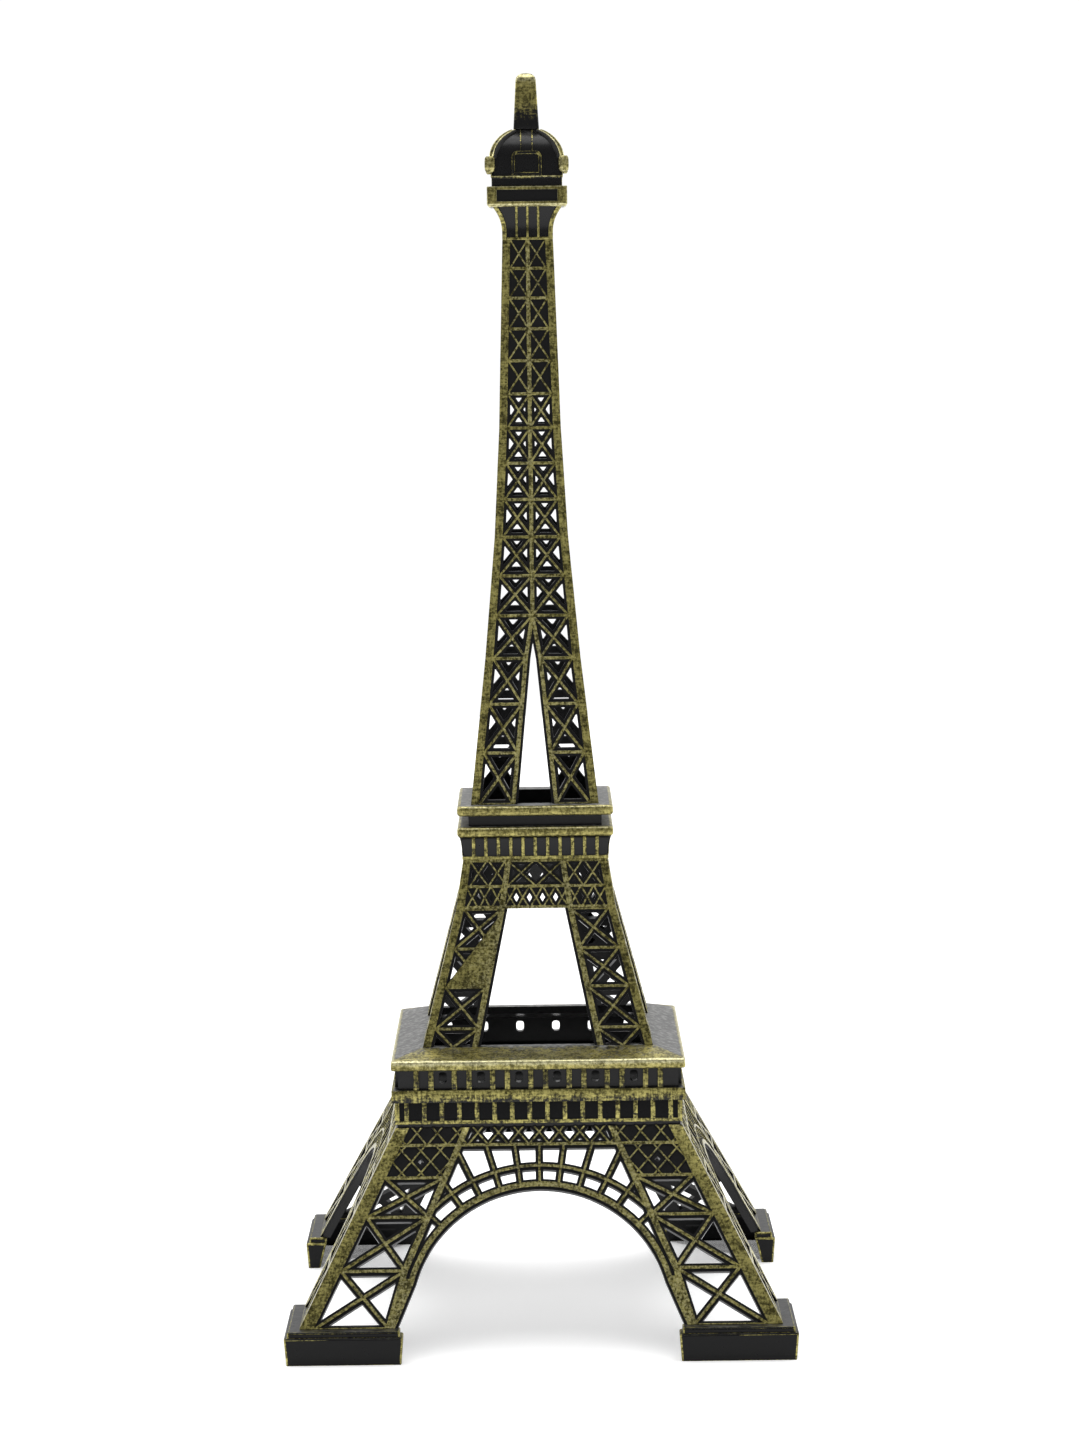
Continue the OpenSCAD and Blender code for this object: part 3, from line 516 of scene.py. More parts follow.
@dataclass(frozen=True)
class AntiqueBronze:
    """A bronze casting with a black patina that polishing has taken off its raised parts, under clear lacquer, with
    painted highlights on its brightest edges and a painted grey reflection on faces that look up.
    """

    name: str
    painted_highlight: Colour = (0.86, 0.82, 0.52)         # colour of the painted highlight on the brightest edges
    bare: Colour = (0.43, 0.385, 0.125)         # colour of the bare metal where it is brightest
    dull: Colour = (0.06, 0.053, 0.014)        # colour of the bare metal where it is dullest
    patina: Colour = (0.004, 0.004, 0.0042)
    specular: float = 0.2
    # grey of the painted reflection on faces that look up
    painted_reflection: Colour = (0.32, 0.32, 0.31)
    coverage: float = 0.2                      # how low on the relief the bare metal starts
    break_up: float = 0.35                     # how uneven its edge is
    hatching: float = 0.6                      # strength of the brush strokes and scratches
    bare_roughness: float = 0.36
    patina_roughness: float = 0.32
    lacquer: float = 0.12
    lacquer_roughness: float = 0.2
    grain: float = 0.5
    bump: float = 0.4
    # strength of the painted reflection on faces that look up
    painted_reflection_amount: float = 0.12

    def material(self) -> bpy.types.Material:
        """Builds the material.

        Returns:
            The material, which reads the values that are stored on the mesh: wear, and above 1 a painted highlight.
        """
        material = bpy.data.materials.new(self.name)
        material.use_nodes = True
        material.node_tree.nodes.clear()
        tree = NodeTree(material.node_tree)
        place = tree.add("ShaderNodeTexCoord").outputs["Object"]
        point = tree.add("ShaderNodeVectorMath", {0: place, 1: (1 / MM,) * 3}, operation="MULTIPLY").outputs[0]
        relief = tree.add("ShaderNodeAttribute", attribute_name=WEAR_AND_HIGHLIGHT).outputs["Fac"]
        rub_and_highlight = self._group(tree, "rubbed_metal_and_highlight", {"Point": point, "Wear and highlight": relief, "Coverage": self.coverage,
                                                    "Break-up": self.break_up, "Hatching": self.hatching})
        skin = self._group(tree, "cast_skin", {"Point": point, "Grain": self.grain})
        painted_reflection = self._group(tree, "painted_up_reflection", {"Point": point, "Amount": self.painted_reflection_amount})
        mask = tree.math("MULTIPLY", rub_and_highlight.outputs["Mask"],
                         tree.math("SUBTRACT", 1.0, tree.math("MULTIPLY", skin.outputs["Pits"], 0.7)))
        metal = tree.mix(rub_and_highlight.outputs["Tone"], (*self.dull, 1), (*self.bare, 1))
        # painted highlight: the pale colour mixed onto the edges with the highest values
        metal = tree.mix(rub_and_highlight.outputs["Painted highlight"], metal, (*self.painted_highlight, 1))
        colour = tree.mix(mask, (*self.patina, 1), metal)
        # painted reflection: grey mixed onto the patina of faces that look up
        painted_reflection_mask = tree.math("MULTIPLY", painted_reflection.outputs["Mask"], tree.math("SUBTRACT", 1.0, mask))
        colour = tree.mix(painted_reflection_mask, colour, (*self.painted_reflection, 1))
        metallic = tree.math("MULTIPLY", mask, 0.92)
        rough = tree.ramp(mask, 0.0, 1.0, self.patina_roughness, self.bare_roughness, smooth=False)
        rough = tree.math("ADD", rough, tree.math("MULTIPLY", tree.math("SUBTRACT", skin.outputs["Height"], 0.5), 0.2))
        rough = tree.math("ADD", rough, tree.math("MULTIPLY", painted_reflection_mask, 0.4), clamp=True)
        bump = tree.add("ShaderNodeBump", {"Strength": self.bump, "Distance": 0.04 * MM,
                                           "Height": skin.outputs["Height"]})
        shader = tree.add("ShaderNodeBsdfPrincipled", {
            "Base Color": colour, "Metallic": metallic, "Roughness": rough, "Normal": bump.outputs[0],
            "Specular IOR Level": self.specular, "Coat Weight": self.lacquer, "Coat Roughness": self.lacquer_roughness})
        tree.add("ShaderNodeOutputMaterial", {"Surface": shader.outputs[0]})
        return material

    @staticmethod
    def _group(tree: NodeTree, name: str, inputs: dict) -> bpy.types.Node:
        """Places one of the shared groups in a material and returns its node."""
        return tree.add("ShaderNodeGroup", inputs, node_tree=GROUPS[name])


class Finish(Enum):
    """The finishes of the tower's castings."""

    LATTICE = AntiqueBronze("lattice_bronze")
    # more bare metal, and a strong painted grey reflection on faces that look up
    POLISHED_PAINTED_REFLECTION = AntiqueBronze("polished_bronze", bare=(0.43, 0.38, 0.13), dull=(0.10, 0.088, 0.024), coverage=0.3,
                             painted_reflection_amount=0.9)
    PLINTH = AntiqueBronze("dark_plinth", coverage=0.2, specular=0.12, lacquer=0.08)
    DOME = AntiqueBronze("dark_dome", patina_roughness=0.25, coverage=0.2)


MATERIALS = {finish: finish.value.material() for finish in Finish}


def dress(piece: bpy.types.Object, finish: Finish, angle: float = 35.0) -> None:
    """Gives a piece its finish, fixes it to the tower and reports it.

    Args:
        piece: The piece.
        finish: Its finish.
        angle: Edges sharper than this many degrees stay sharp in the shading.
    """
    piece.data.materials.clear()
    piece.data.materials.append(MATERIALS[finish])
    shade(piece, angle)
    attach(piece, BODY)
    log.info("%s: %d faces in %s", piece.name, len(piece.data.polygons), finish.value.name)


# ---- the tower's sub-assemblies ----


def heights() -> dict[str, float]:
    """Reads the heights of the seams between the castings from the frame, in millimetres."""
    tops = {"leg": "foot_front_left", "frieze": "lower_side_front", "arcade": "first_frieze", "roof": "first_arcade",
            "mid": "first_roof", "corbel": "middle_side_front", "tray": "second_corbel", "ledge": "second_gallery",
            "shaft": "second_ledge", "head": "shaft_side_front", "box": "shaft_head", "drum": "top_gallery",
            "dome": "lantern_drum", "tip": "spire"}
    return {name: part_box(node)[1].z / MM for name, node in tops.items()}


@dataclass
class Feet:
    """The four L-shaped plinths under the legs, black with worn edges."""

    plinth_h: float = 3.9
    step_in: float = 0.45
    top_t: float = 3.1
    bottom_t: float = 2.1
    draft: float = 0.3              # how far the plinth's faces lean in towards the table
    edge_r: float = 0.22

    def outline(self, z: float, set_back: float, thickness: float) -> list[Vector]:
        """Returns the L-shaped outline of the front left foot.

        Args:
            z: Height of the outline.
            set_back: How far its outer faces lie inside the foot's box.
            thickness: Distance of the arms' inner faces from the foot's box.

        Returns:
            Six corners, in millimetres.
        """
        low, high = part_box("foot_front_left")
        outer, end, inner = low.x / MM + set_back, high.x / MM - set_back, low.x / MM + thickness
        return [Vector((x, y, z)) for x, y in ((outer, outer), (end, outer), (end, inner), (inner, inner),
                                               (inner, end), (outer, end))]

    def build(self) -> list[bpy.types.Object]:
        """Builds the four feet, the front left one first, and returns them."""
        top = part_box("foot_front_left")[1].z / MM
        foot = loft("foot_front_left_plinth", [
            self.outline(0, self.draft, self.bottom_t),
            self.outline(self.plinth_h, 0, self.top_t),
            self.outline(self.plinth_h, self.step_in, self.top_t),
            self.outline(top, self.step_in, self.top_t)])


        def is_worn(edge: bmesh.types.BMEdge) -> bool:
            """Says whether a convex edge stands off the table."""
            return is_sharp(edge) and edge.is_convex and max(vert.co.z for vert in edge.verts) > 0.1 * MM

        soften(foot, self.edge_r, 3, is_worn, 1.05)
        panel(foot, 0.25, 0.02, lambda face: face.calc_area() > 0.9 * MM * MM)
        feet = [foot] + [turned_copy(foot, f"foot_{corner}_plinth", turns + 1)
                         for turns, corner in enumerate(("front_right", "back_right", "back_left"))]
        for piece in feet:
            node = piece.name.removesuffix("_plinth")
            keep_inside(piece, node)
            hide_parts(node)
        return feet

    def dress(self, feet: Sequence[bpy.types.Object]) -> None:
        """Gives the feet their finish."""
        for foot in feet:
            paint_relief(foot, lambda point: 0.0)
            dress(foot, Finish.PLINTH)


@dataclass(frozen=True)
class Facet:
    """One flat stretch of a lattice side, by its height and half-width at the bottom and the top."""

    z0: float
    half0: float
    z1: float
    half1: float

    @property
    def normal(self) -> Vector:
        """The way the front facet faces."""
        return Vector((0, self.z0 - self.z1, self.half0 - self.half1)).normalized()

    def depth(self, point: Vector) -> float:
        """Returns how far a point lies under the facet's surface."""
        return -(point - Vector((0, -self.half0, self.z0))).dot(self.normal)

    def half_at(self, z: float) -> float:
        """Returns the facet's half-width at a height."""
        return self.half0 + (self.half1 - self.half0) * (z - self.z0) / (self.z1 - self.z0)


@dataclass
class LatticeTier:
    """A tier of the tower: one cast lattice side, modelled once and turned to all four sides."""

    node: str
    facets: Sequence[Facet]
    strip_w: float = 1.15
    bar_rise: float = 0.35
    crest_bevel: float = 0.06
    merge: float = 0.0              # short edges up to this length close up before the crests are bevelled
    hole_radius: float = 0.22

    def facet_at(self, point: Vector) -> Facet:
        """Returns the facet at a point's height."""
        for facet in self.facets:
            if point.z <= facet.z1:
                return facet
        return self.facets[-1]

    def is_crest(self, face: bmesh.types.BMFace) -> bool:
        """Says whether a face is the top of a raised bar."""
        centre = face.calc_center_median() / MM
        facet = self.facet_at(centre)
        return abs(facet.depth(centre)) < 0.03 and face.normal.dot(facet.normal) > 0.999

    def is_crest_edge(self, edge: bmesh.types.BMEdge) -> bool:
        """Says whether an edge runs along a raised bar's crest, but not along the tower's corner."""
        if len(edge.link_faces) != 2:
            return False
        crest = [self.is_crest(face) for face in edge.link_faces]
        if crest[0] == crest[1]:
            return False
        other = edge.link_faces[crest.index(False)]
        return abs(abs(other.normal.x) - abs(other.normal.y)) > 0.02 or abs(other.normal.z) > 0.3

    def is_hole_corner(self, edge: bmesh.types.BMEdge) -> bool:
        """Says whether an edge runs through the web at the corner of a hole."""
        ends = [vert.co / MM for vert in edge.verts]
        along = (ends[1] - ends[0])
        if along.length < 0.7 or not is_sharp(edge, 20):
            return False
        facet = self.facet_at((ends[0] + ends[1]) / 2)
        return abs(along.normalized().dot(facet.normal)) > 0.98

    def relief(self, point: Vector) -> float:
        """Returns the value of a point: 0 on the web, 1 on the corner strips, and more on the slender bars' crests, a
        painted highlight.
        """
        facet = self.facet_at(point)
        depth = facet.depth(point)
        slender = facet.half_at(point.z) - abs(point.x) > self.strip_w + 0.1
        # painted highlight on the slender bars' crests
        crest = 1.12 if slender else 1.0
        if depth < 0.5 * self.crest_bevel:
            return crest
        return max(0.0, 0.48 * (1.0 - (depth - self.crest_bevel) / (self.bar_rise - self.crest_bevel)))

    def build(self) -> list[bpy.types.Object]:
        """Builds the four sides.

        Returns:
            The sides, the front one first.
        """
        front = casting_copy(f"{self.node}_front", f"{self.node}_front_casting")
        soften(front, self.hole_radius, 2, self.is_hole_corner)
        if self.merge > 0:
            edit(front)
            bpy.ops.mesh.select_all(action="SELECT")
            bpy.ops.mesh.remove_doubles(threshold=self.merge * MM)
            bpy.ops.object.mode_set(mode="OBJECT")
        soften(front, self.crest_bevel, 1, self.is_crest_edge, clamp=False)
        paint_relief(front, self.relief)
        sides = [front]
        for turns, side in enumerate(SIDES[1:]):
            piece = turned_copy(front, f"{self.node}_{side}_casting", turns + 1)
            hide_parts(f"{self.node}_{side}")
            sides.append(piece)
        return sides

    def dress(self, pieces: Sequence[bpy.types.Object]) -> None:
        """Gives the sides their finish."""
        for piece in pieces:
            wobble(piece)
            dress(piece, Finish.LATTICE)


@dataclass
class FirstPlatform:
    """The lower platform: a frieze of posts, a ledge, an arcade with small windows, and a sloping roof."""

    z: dict[str, float]
    frieze_half: float = 20.1
    wall_half: float = 18.7
    eave_h: float = 1.3
    roof_top_half: float = 16.6
    roof_opening: float = 15.0
    post_r: float = 0.14

    def build(self) -> dict[str, bpy.types.Object]:
        """Builds the three rings and returns them by name."""
        frieze = casting_copy("first_frieze", "first_frieze_casting")
        soften(frieze, self.post_r, 2, is_sharp)
        paint_relief(frieze, self._frieze_relief)
        arcade = casting_copy("first_arcade", "first_arcade_casting")
        soften(arcade, 0.42, 3, self._is_window_corner)
        soften(arcade, self.post_r, 2, self._is_outer_edge)
        paint_relief(arcade, self._arcade_relief)
        return {"frieze": frieze, "arcade": arcade, "roof": self._roof()}

    def _roof(self) -> bpy.types.Object:
        """Models the roof: a bullnosed eave with a painted highlight on its rim, bare front and back slopes that darken
        towards the top, black side slopes under a painted reflection, and a hollow underside.
        """
        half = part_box("first_roof")[1].x / MM
        eave = self.z["roof"] + self.eave_h
        slope = [(half + (self.roof_top_half - half) * i / 6, eave + (self.z["mid"] - eave) * i / 6)
                 for i in range(7)]
        inside = self.wall_half - 1
        roof = square_turn("first_roof_casting", [
            (half, self.z["roof"]), *slope, (self.roof_opening, self.z["mid"]),
            (self.roof_opening, self.z["mid"] - 1.1), (inside, self.z["roof"] + 0.3), (inside, self.z["roof"])],
            True)
        soften(roof, 0.3, 3, lambda edge: is_sharp(edge, 60) and square_reach(edge.verts[0].co / MM) > half - 0.05)
        edit(roof)
        pick(roof, Part.EDGES, lambda edge: (edge.verts[0].co - edge.verts[1].co).length > 25 * MM
             and edge.verts[0].co.z > eave * MM)
        bpy.ops.mesh.subdivide(number_cuts=15)
        bpy.ops.object.mode_set(mode="OBJECT")

        def rule(point: Vector) -> float:
            """A painted highlight on the eave's upper rim, bare on its nose and on the front and back slopes, darker up
            these slopes, painted black on the side slopes, black inside.
            """
            reach = square_reach(point)
            if reach < self.roof_top_half - 0.1 or (reach < half - 0.35 and point.z < self.z["roof"] + 0.35):
                return 0.0
            # painted highlight on the eave's upper rim
            if reach > half - 0.35:
                return 1.25 if point.z > eave - 0.32 else 0.95
            # painted light: the side slopes are kept black, unlike the front and back slopes, so that the painted
            # reflection greys them
            if abs(point.x) > abs(point.y) + 0.3:
                return 0.15
            climb = (half - reach) / (half - self.roof_top_half)
            return 1.02 - 0.3 * climb + 0.12 * noise.noise(point * 0.3)

        paint_relief(roof, rule)
        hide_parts("first_roof")
        return roof

    def _is_window_corner(self, edge: bmesh.types.BMEdge) -> bool:
        """Says whether an edge runs through the arcade's wall at a window's corner."""
        ends = [vert.co / MM for vert in edge.verts]
        reaches = sorted(square_reach(end) for end in ends)
        level = abs(ends[0].z - ends[1].z) < 0.01
        return level and is_sharp(edge) and abs(reaches[0] - self.wall_half) < 0.05 and abs(reaches[1] - 20) < 0.05

    def _is_outer_edge(self, edge: bmesh.types.BMEdge) -> bool:
        """Says whether a sharp edge lies on the arcade's posts or ledge."""
        return is_sharp(edge, 60) and min(square_reach(vert.co / MM) for vert in edge.verts) > 20.2

    def _frieze_relief(self, point: Vector) -> float:
        """Bright on the posts and the moulding, black between them and inside."""
        reach = square_reach(point)
        if reach > self.frieze_half + 0.3:
            return 0.86
        return 0.35 if reach > self.frieze_half + 0.05 else 0.0

    def _arcade_relief(self, point: Vector) -> float:
        """Bare on the ledge, with a painted highlight on its upper band, and on the posts; black on the wall and
        inside.
        """
        reach = square_reach(point)
        if reach > 20.8:
            # painted highlight: the ledge's upper band is painted lighter than its lower band
            return 1.05 if point.z > self.z["arcade"] + 1.55 else 0.72
        return 0.82 if reach > 20.4 else 0.0

    def dress(self, pieces: dict[str, bpy.types.Object]) -> None:
        """Gives the rings their finishes."""
        for name, piece in pieces.items():
            wobble(piece, 0.04)
            dress(piece, Finish.POLISHED_PAINTED_REFLECTION if name == "roof" else Finish.LATTICE)


@dataclass
class SecondPlatform:
    """The upper platform: a flared corbel with thin posts and two bullnosed ledges with a groove between them."""

    z: dict[str, float]
    ledge_h: float = 1.45
    groove_depth: float = 1.65
    tray_bore: float = 8.9
    ledge_bore: float = 7.85
    nose_r: float = 0.45

    def build(self) -> dict[str, bpy.types.Object]:
        """Builds the three rings and returns them by name."""
        corbel = casting_copy("second_corbel", "second_corbel_casting")
        soften(corbel, 0.08, 1, is_sharp)
        paint_relief(corbel, self._corbel_relief)
        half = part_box("second_ledge")[1].x / MM
        tray, ledge, shaft = self.z["tray"], self.z["ledge"], self.z["shaft"]
        groove = half - self.groove_depth
        gallery = square_turn("second_gallery_casting", [
            (half, tray), (half, tray + self.ledge_h), (half - 0.6, tray + self.ledge_h),
            (groove, tray + self.ledge_h), (groove, ledge), (self.tray_bore, ledge), (self.tray_bore, tray)], True)
        upper = square_turn("second_ledge_casting", [
            (half, ledge), (half, shaft), (half - 0.6, shaft), (half - 1.0, shaft),
            (self.ledge_bore, shaft), (self.ledge_bore, ledge)], True)
        for piece, low, node in ((gallery, tray, "second_gallery"), (upper, ledge, "second_ledge")):
            soften(piece, self.nose_r, 3, lambda edge: is_sharp(edge, 60) and min(
                square_reach(vert.co / MM) for vert in edge.verts) > half - 0.05)
            paint_relief(piece, lambda point: self._ledge_relief(point, half, low))
            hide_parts(node)
        return {"corbel": corbel, "gallery": gallery, "upper": upper}

    def _ledge_relief(self, point: Vector, half: float, low: float) -> float:
        """A painted highlight on a ledge's upper rim and on the upper half of its nose, bare metal below them, black
        behind.
        """
        reach = square_reach(point)
        if reach > half - 0.15:
            # painted highlight on the upper part of the rim
            return 1.2 if point.z > low + self.ledge_h - 0.3 else 0.9
        if reach > half - self.nose_r - 0.05:
            # painted highlight: the upper half of the nose is painted lighter than the lower half
            return 1.1 if point.z > low + 0.5 * self.ledge_h else 0.8
        return 0.0

    def _corbel_relief(self, point: Vector) -> float:
        """Bright on the posts and the moulding at their foot, black on the field between them."""
        foot = self.z["corbel"] + 0.45
        share = max(0.0, min(1.0, (point.z - foot) / (self.z["tray"] - foot)))
        field_half = 11.0 - 0.7 * math.cos(math.asin(share))
        reach = square_reach(point)
        if point.z < foot + 0.02:
            return 0.95 if reach > 10.3 else 0.0
        return 0.92 if reach > field_half + 0.12 else 0.0

    def dress(self, pieces: dict[str, bpy.types.Object]) -> None:
        """Gives the rings their finishes."""
        for name, piece in pieces.items():
            wobble(piece, 0.04)
            dress(piece, Finish.LATTICE if name == "corbel" else Finish.POLISHED_PAINTED_REFLECTION)


@dataclass
class Head:
    """The flared head of the shaft, black with brass strips, and the panelled gallery box on it."""

    z: dict[str, float]
    foot_half: float = 3.65
    straight_h: float = 1.2
    widening: float = 1.5
    strip_w: float = 0.66
    rib_w: float = 0.34
    rib_pitch: float = 1.55
    strip_rise: float = 0.25
    bar_h: float = 0.4
    box_bar_w: float = 1.32
    box_top_h: float = 0.4
    box_bottom_h: float = 0.65
    box_recess: float = 0.45
    box_chamfer: float = 0.3

    def flare(self) -> list[tuple[float, float]]:
        """Returns half-width and height of the strips' crests at each step up the head."""
        foot, start, top = self.z["head"], self.z["head"] + self.straight_h, self.z["box"]
        curve = [(self.foot_half + self.widening * (i / 9) ** 2, start + (top - start) * i / 9) for i in range(10)]
        return [(self.foot_half, foot), *curve]

    def build(self) -> dict[str, bpy.types.Object]:
        """Builds the head, its strips and the box and returns them by name."""
        field = loft("shaft_head_field", [square(half - self.strip_rise, z) for half, z in self.flare()])
        paint_relief(field, lambda point: 0.0)
        inner = self.strip_w / 2
        corner = loft("shaft_head_strips", [square(inner, z, (half - inner, inner - half)) for half, z in self.flare()])
        ribs = []
        for place in (-1, 0, 1):
            x, wide = place * self.rib_pitch, self.rib_w / 2
            ribs.append(loft(f"rib_{place}", [
                [Vector((x - wide, -half - 0.0, z)), Vector((x + wide, -half, z)), Vector((x + wide, 0.5 - half, z)),
                 Vector((x - wide, 0.5 - half, z))] for half, z in self.flare()]))
        bar = loft("bar", [[Vector((-h, -self.foot_half, z)), Vector((h, -self.foot_half, z)),
                            Vector((h, 0.5 - self.foot_half, z)), Vector((-h, 0.5 - self.foot_half, z))]
                           for h, z in ((self.foot_half - 0.4, self.z["head"]),
                                        (self.foot_half - 0.4, self.z["head"] + self.bar_h))])
        strips = on_four_sides(join([corner, *ribs, bar]))
        soften(strips, 0.09, 2, lambda edge: is_sharp(edge, 50), 0.96)
        paint_relief(strips, lambda point: 0.75)
        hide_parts("shaft_head")
        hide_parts("shaft_head")
        return {"head": field, "strips": strips, "box": self._box()}

    def _box(self) -> bpy.types.Object:
        """Models the box: chamfered underneath, with a black recess in each side, and painted highlights on its bevels
        and on the rim round each recess.
        """
        low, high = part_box("top_gallery")
        half, bottom, top = high.x / MM, low.z / MM, high.z / MM
        box = loft("top_gallery_casting", [
            square(half - self.box_chamfer, bottom), square(half, bottom + self.box_chamfer), square(half, top)])
        # painted highlight on the bevels
        soften(box, 0.12, 2, lambda edge: is_sharp(edge, 30), 1.2)
        edit(box)
        pick(box, Part.FACES, lambda face: abs(face.normal.z) < 0.1 and face.calc_area() > 4 * MM * MM)
        bpy.ops.mesh.inset(thickness=0.07 * MM, depth=0, use_individual=True)
        self._set_selected(box, 0.92)
        bpy.ops.mesh.inset(thickness=0.1 * MM, depth=0, use_individual=True)
        mesh = bmesh.from_edit_mesh(box.data)
        wide, layer = half - self.box_bar_w, mesh.verts.layers.float[WEAR_AND_HIGHLIGHT]
        for vert in mesh.verts:
            if vert.select:
                across = 0 if abs(vert.co.y) > abs(vert.co.x) else 1
                vert.co[across] = math.copysign(wide * MM, vert.co[across])
                middle = (bottom + top) / 2
                vert.co.z = (top - self.box_top_h if vert.co.z / MM > middle else bottom + self.box_bottom_h) * MM
                vert[layer] = 0.92
        bmesh.update_edit_mesh(box.data)
        # painted highlight on the rim round the recess
        bpy.ops.mesh.inset(thickness=0.08 * MM, depth=0, use_individual=True)
        self._set_selected(box, 1.25)
        bpy.ops.mesh.extrude_faces_move(TRANSFORM_OT_shrink_fatten={"value": -self.box_recess * MM})
        self._set_selected(box, 0.0)
        bpy.ops.object.mode_set(mode="OBJECT")
        panel(box, 0.2, 0.0, lambda face: abs(face.normal.z) > 0.99)
        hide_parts("top_gallery")
        return box

    @staticmethod
    def _set_selected(piece: bpy.types.Object, relief: float) -> None:
        """Paints the selected points of a piece that is open in edit mode."""
        mesh = bmesh.from_edit_mesh(piece.data)
        layer = mesh.verts.layers.float[WEAR_AND_HIGHLIGHT]
        for vert in mesh.verts:
            if vert.select:
                vert[layer] = relief
        bmesh.update_edit_mesh(piece.data)

    def dress(self, pieces: dict[str, bpy.types.Object]) -> None:
        """Gives the head and the box their finishes."""
        dress(pieces["head"], Finish.DOME)
        dress(pieces["strips"], Finish.LATTICE)
        dress(pieces["box"], Finish.POLISHED_PAINTED_REFLECTION)


@dataclass
class Lantern:
    """The lantern: a drum, a black dome with brass ribs and lugs at its corners, and a door on each side."""

    z: dict[str, float]
    half: float = 5.05
    wall_h: float = 2.2
    shell_in: float = 0.3
    spire_half: float = 1.85
    lug_low: float = 0.5
    lug_high: float = 2.75
    door_w: float = 4.3
    door_h: float = 3.5
    stem_w: float = 1.8

    @property
    def top(self) -> float:
        """Height of the spire's foot, where the dome ends."""
        return self.z["dome"] + 6.6

    @property
    def top_angle(self) -> float:
        """Angle up the dome's ellipse at which it meets the spire."""
        return math.acos(self.spire_half / self.half)

    def arc(self, angle: float, grow: float) -> tuple[float, float]:
        """Returns half-width and height of the dome's ellipse at an angle, grown by a distance."""
        rise = (self.top - self.z["dome"] - self.wall_h) / math.sin(self.top_angle)
        return ((self.half + grow) * math.cos(angle),
                self.z["dome"] + self.wall_h + (rise + grow) * math.sin(angle))

    def build(self) -> dict[str, bpy.types.Object]:
        """Builds the lantern's pieces and returns them by the name of the CAD node that each stands for."""
        pieces = {"lantern_drum": self._drum(), "lantern_dome": self._dome(), "dome_ribs": self._ribs(),
                  "dome_lugs": self._lugs(), "lantern_doors": self._doors()}
        for node, piece in pieces.items():
            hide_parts(node)
        return pieces

    def _drum(self) -> bpy.types.Object:
        """Models the drum, with a lip under the dome."""
        low, high = self.z["drum"], self.z["dome"]
        drum = loft("lantern_drum_casting", [
            square(self.half, low), square(self.half, high - 0.25), square(self.half + 0.12, high - 0.2),
            square(self.half + 0.12, high)])
        soften(drum, 0.12, 2, is_sharp, 0.75)
        panel(drum, 0.25, 0.5, lambda face: face.calc_area() > MM * MM)
        # painted highlight on the lip
        paint_relief(drum, lambda point: 1.15 if square_reach(point) > self.half + 0.08 else 0.0)
        return drum

    def _dome(self) -> bpy.types.Object:
        """Models the black dome, which curves in from an upright foot to a neck under the spire."""
        curve = [self.arc(self.top_angle * i / 14, -self.shell_in) for i in range(15)]
        neck = self.spire_half - 0.1
        dome = square_turn("lantern_dome_casting", [
            (0, self.z["dome"]), (self.half - self.shell_in, self.z["dome"]), *curve, (neck, curve[-1][1]),
            (neck, self.top), (0, self.top)], False)
        paint_relief(dome, lambda point: 0.0)
        return dome

    def _strip(self, name: str, outwards: Vector, reach_scale: float, start: float,
               section: Sequence[tuple[float, float]]) -> bpy.types.Object:
        """Models a strip that climbs the dome's outside to the spire.

        Args:
            name: Name of the new piece.
            outwards: Level direction from the axis to the strip.
            reach_scale: Distance from the axis over the dome's half-width: 1 on a side, the root of 2 at a corner.
            start: Angle up the ellipse at which the strip begins.
            section: Its cross-section: distances across the strip and out of the dome.

        Returns:
            The strip.
        """
        across = Vector((0, 0, 1)).cross(outwards)
        steps = 12
        sections = []
        for step in range(steps + 1):
            angle = start + (self.top_angle - start) * step / steps
            reach, z = self.arc(angle, 0)
            ahead, z_ahead = self.arc(angle + 0.01, 0)
            tangent = outwards * (ahead - reach) * reach_scale + Vector((0, 0, z_ahead - z))
            normal = across.cross(tangent).normalized()
            if normal.dot(outwards) < 0:
                normal = -normal
            place = outwards * reach * reach_scale + Vector((0, 0, z))
            sections.append([place + across * u + normal * v for u, v in section])
        return loft(name, sections)

    def _ribs(self) -> bpy.types.Object:
        """Models one rib with a bead along each edge and repeats it on the dome's four corners."""
        start = math.asin(0.06)
        rib = self._strip("dome_ribs_casting", Vector((1, -1, 0)).normalized(), math.sqrt(2), start, [
            (-0.5, -0.7), (-0.5, -0.02), (-0.42, 0.08), (-0.28, 0.08), (-0.2, -0.06), (0.2, -0.06), (0.28, 0.08),
            (0.42, 0.08), (0.5, -0.02), (0.5, -0.7)])
        across = Vector((1, 1, 0)).normalized()
        layer = rib.data.attributes.new(WEAR_AND_HIGHLIGHT, "FLOAT", "POINT")
        for vert, item in zip(rib.data.vertices, layer.data):
            offset = abs((vert.co / MM).dot(across))
            # painted highlight on the two beads, bare metal between them, darker at the sides
            item.value = 1.25 if 0.26 < offset < 0.45 else 0.75 if offset < 0.26 else 0.3
        return on_four_sides(rib)

    def _lugs(self) -> bpy.types.Object:
        """Models one rounded lug and repeats it on the dome's four corners."""
        middle, low, tall = (5.28, -5.28), self.z["dome"] + self.lug_low, self.lug_high - self.lug_low
        lug = loft("dome_lugs_casting", [square(half, low + tall * share, middle) for share, half in (
            (0, 0.5), (0.12, 0.68), (0.35, 0.73), (0.65, 0.73), (0.88, 0.68), (1, 0.5))])
        # painted highlight on the rounded edges
        soften(lug, 0.22, 2, lambda edge: is_sharp(edge, 60), 1.12)
        paint_relief(lug, lambda point: 1.0)
        return on_four_sides(lug)

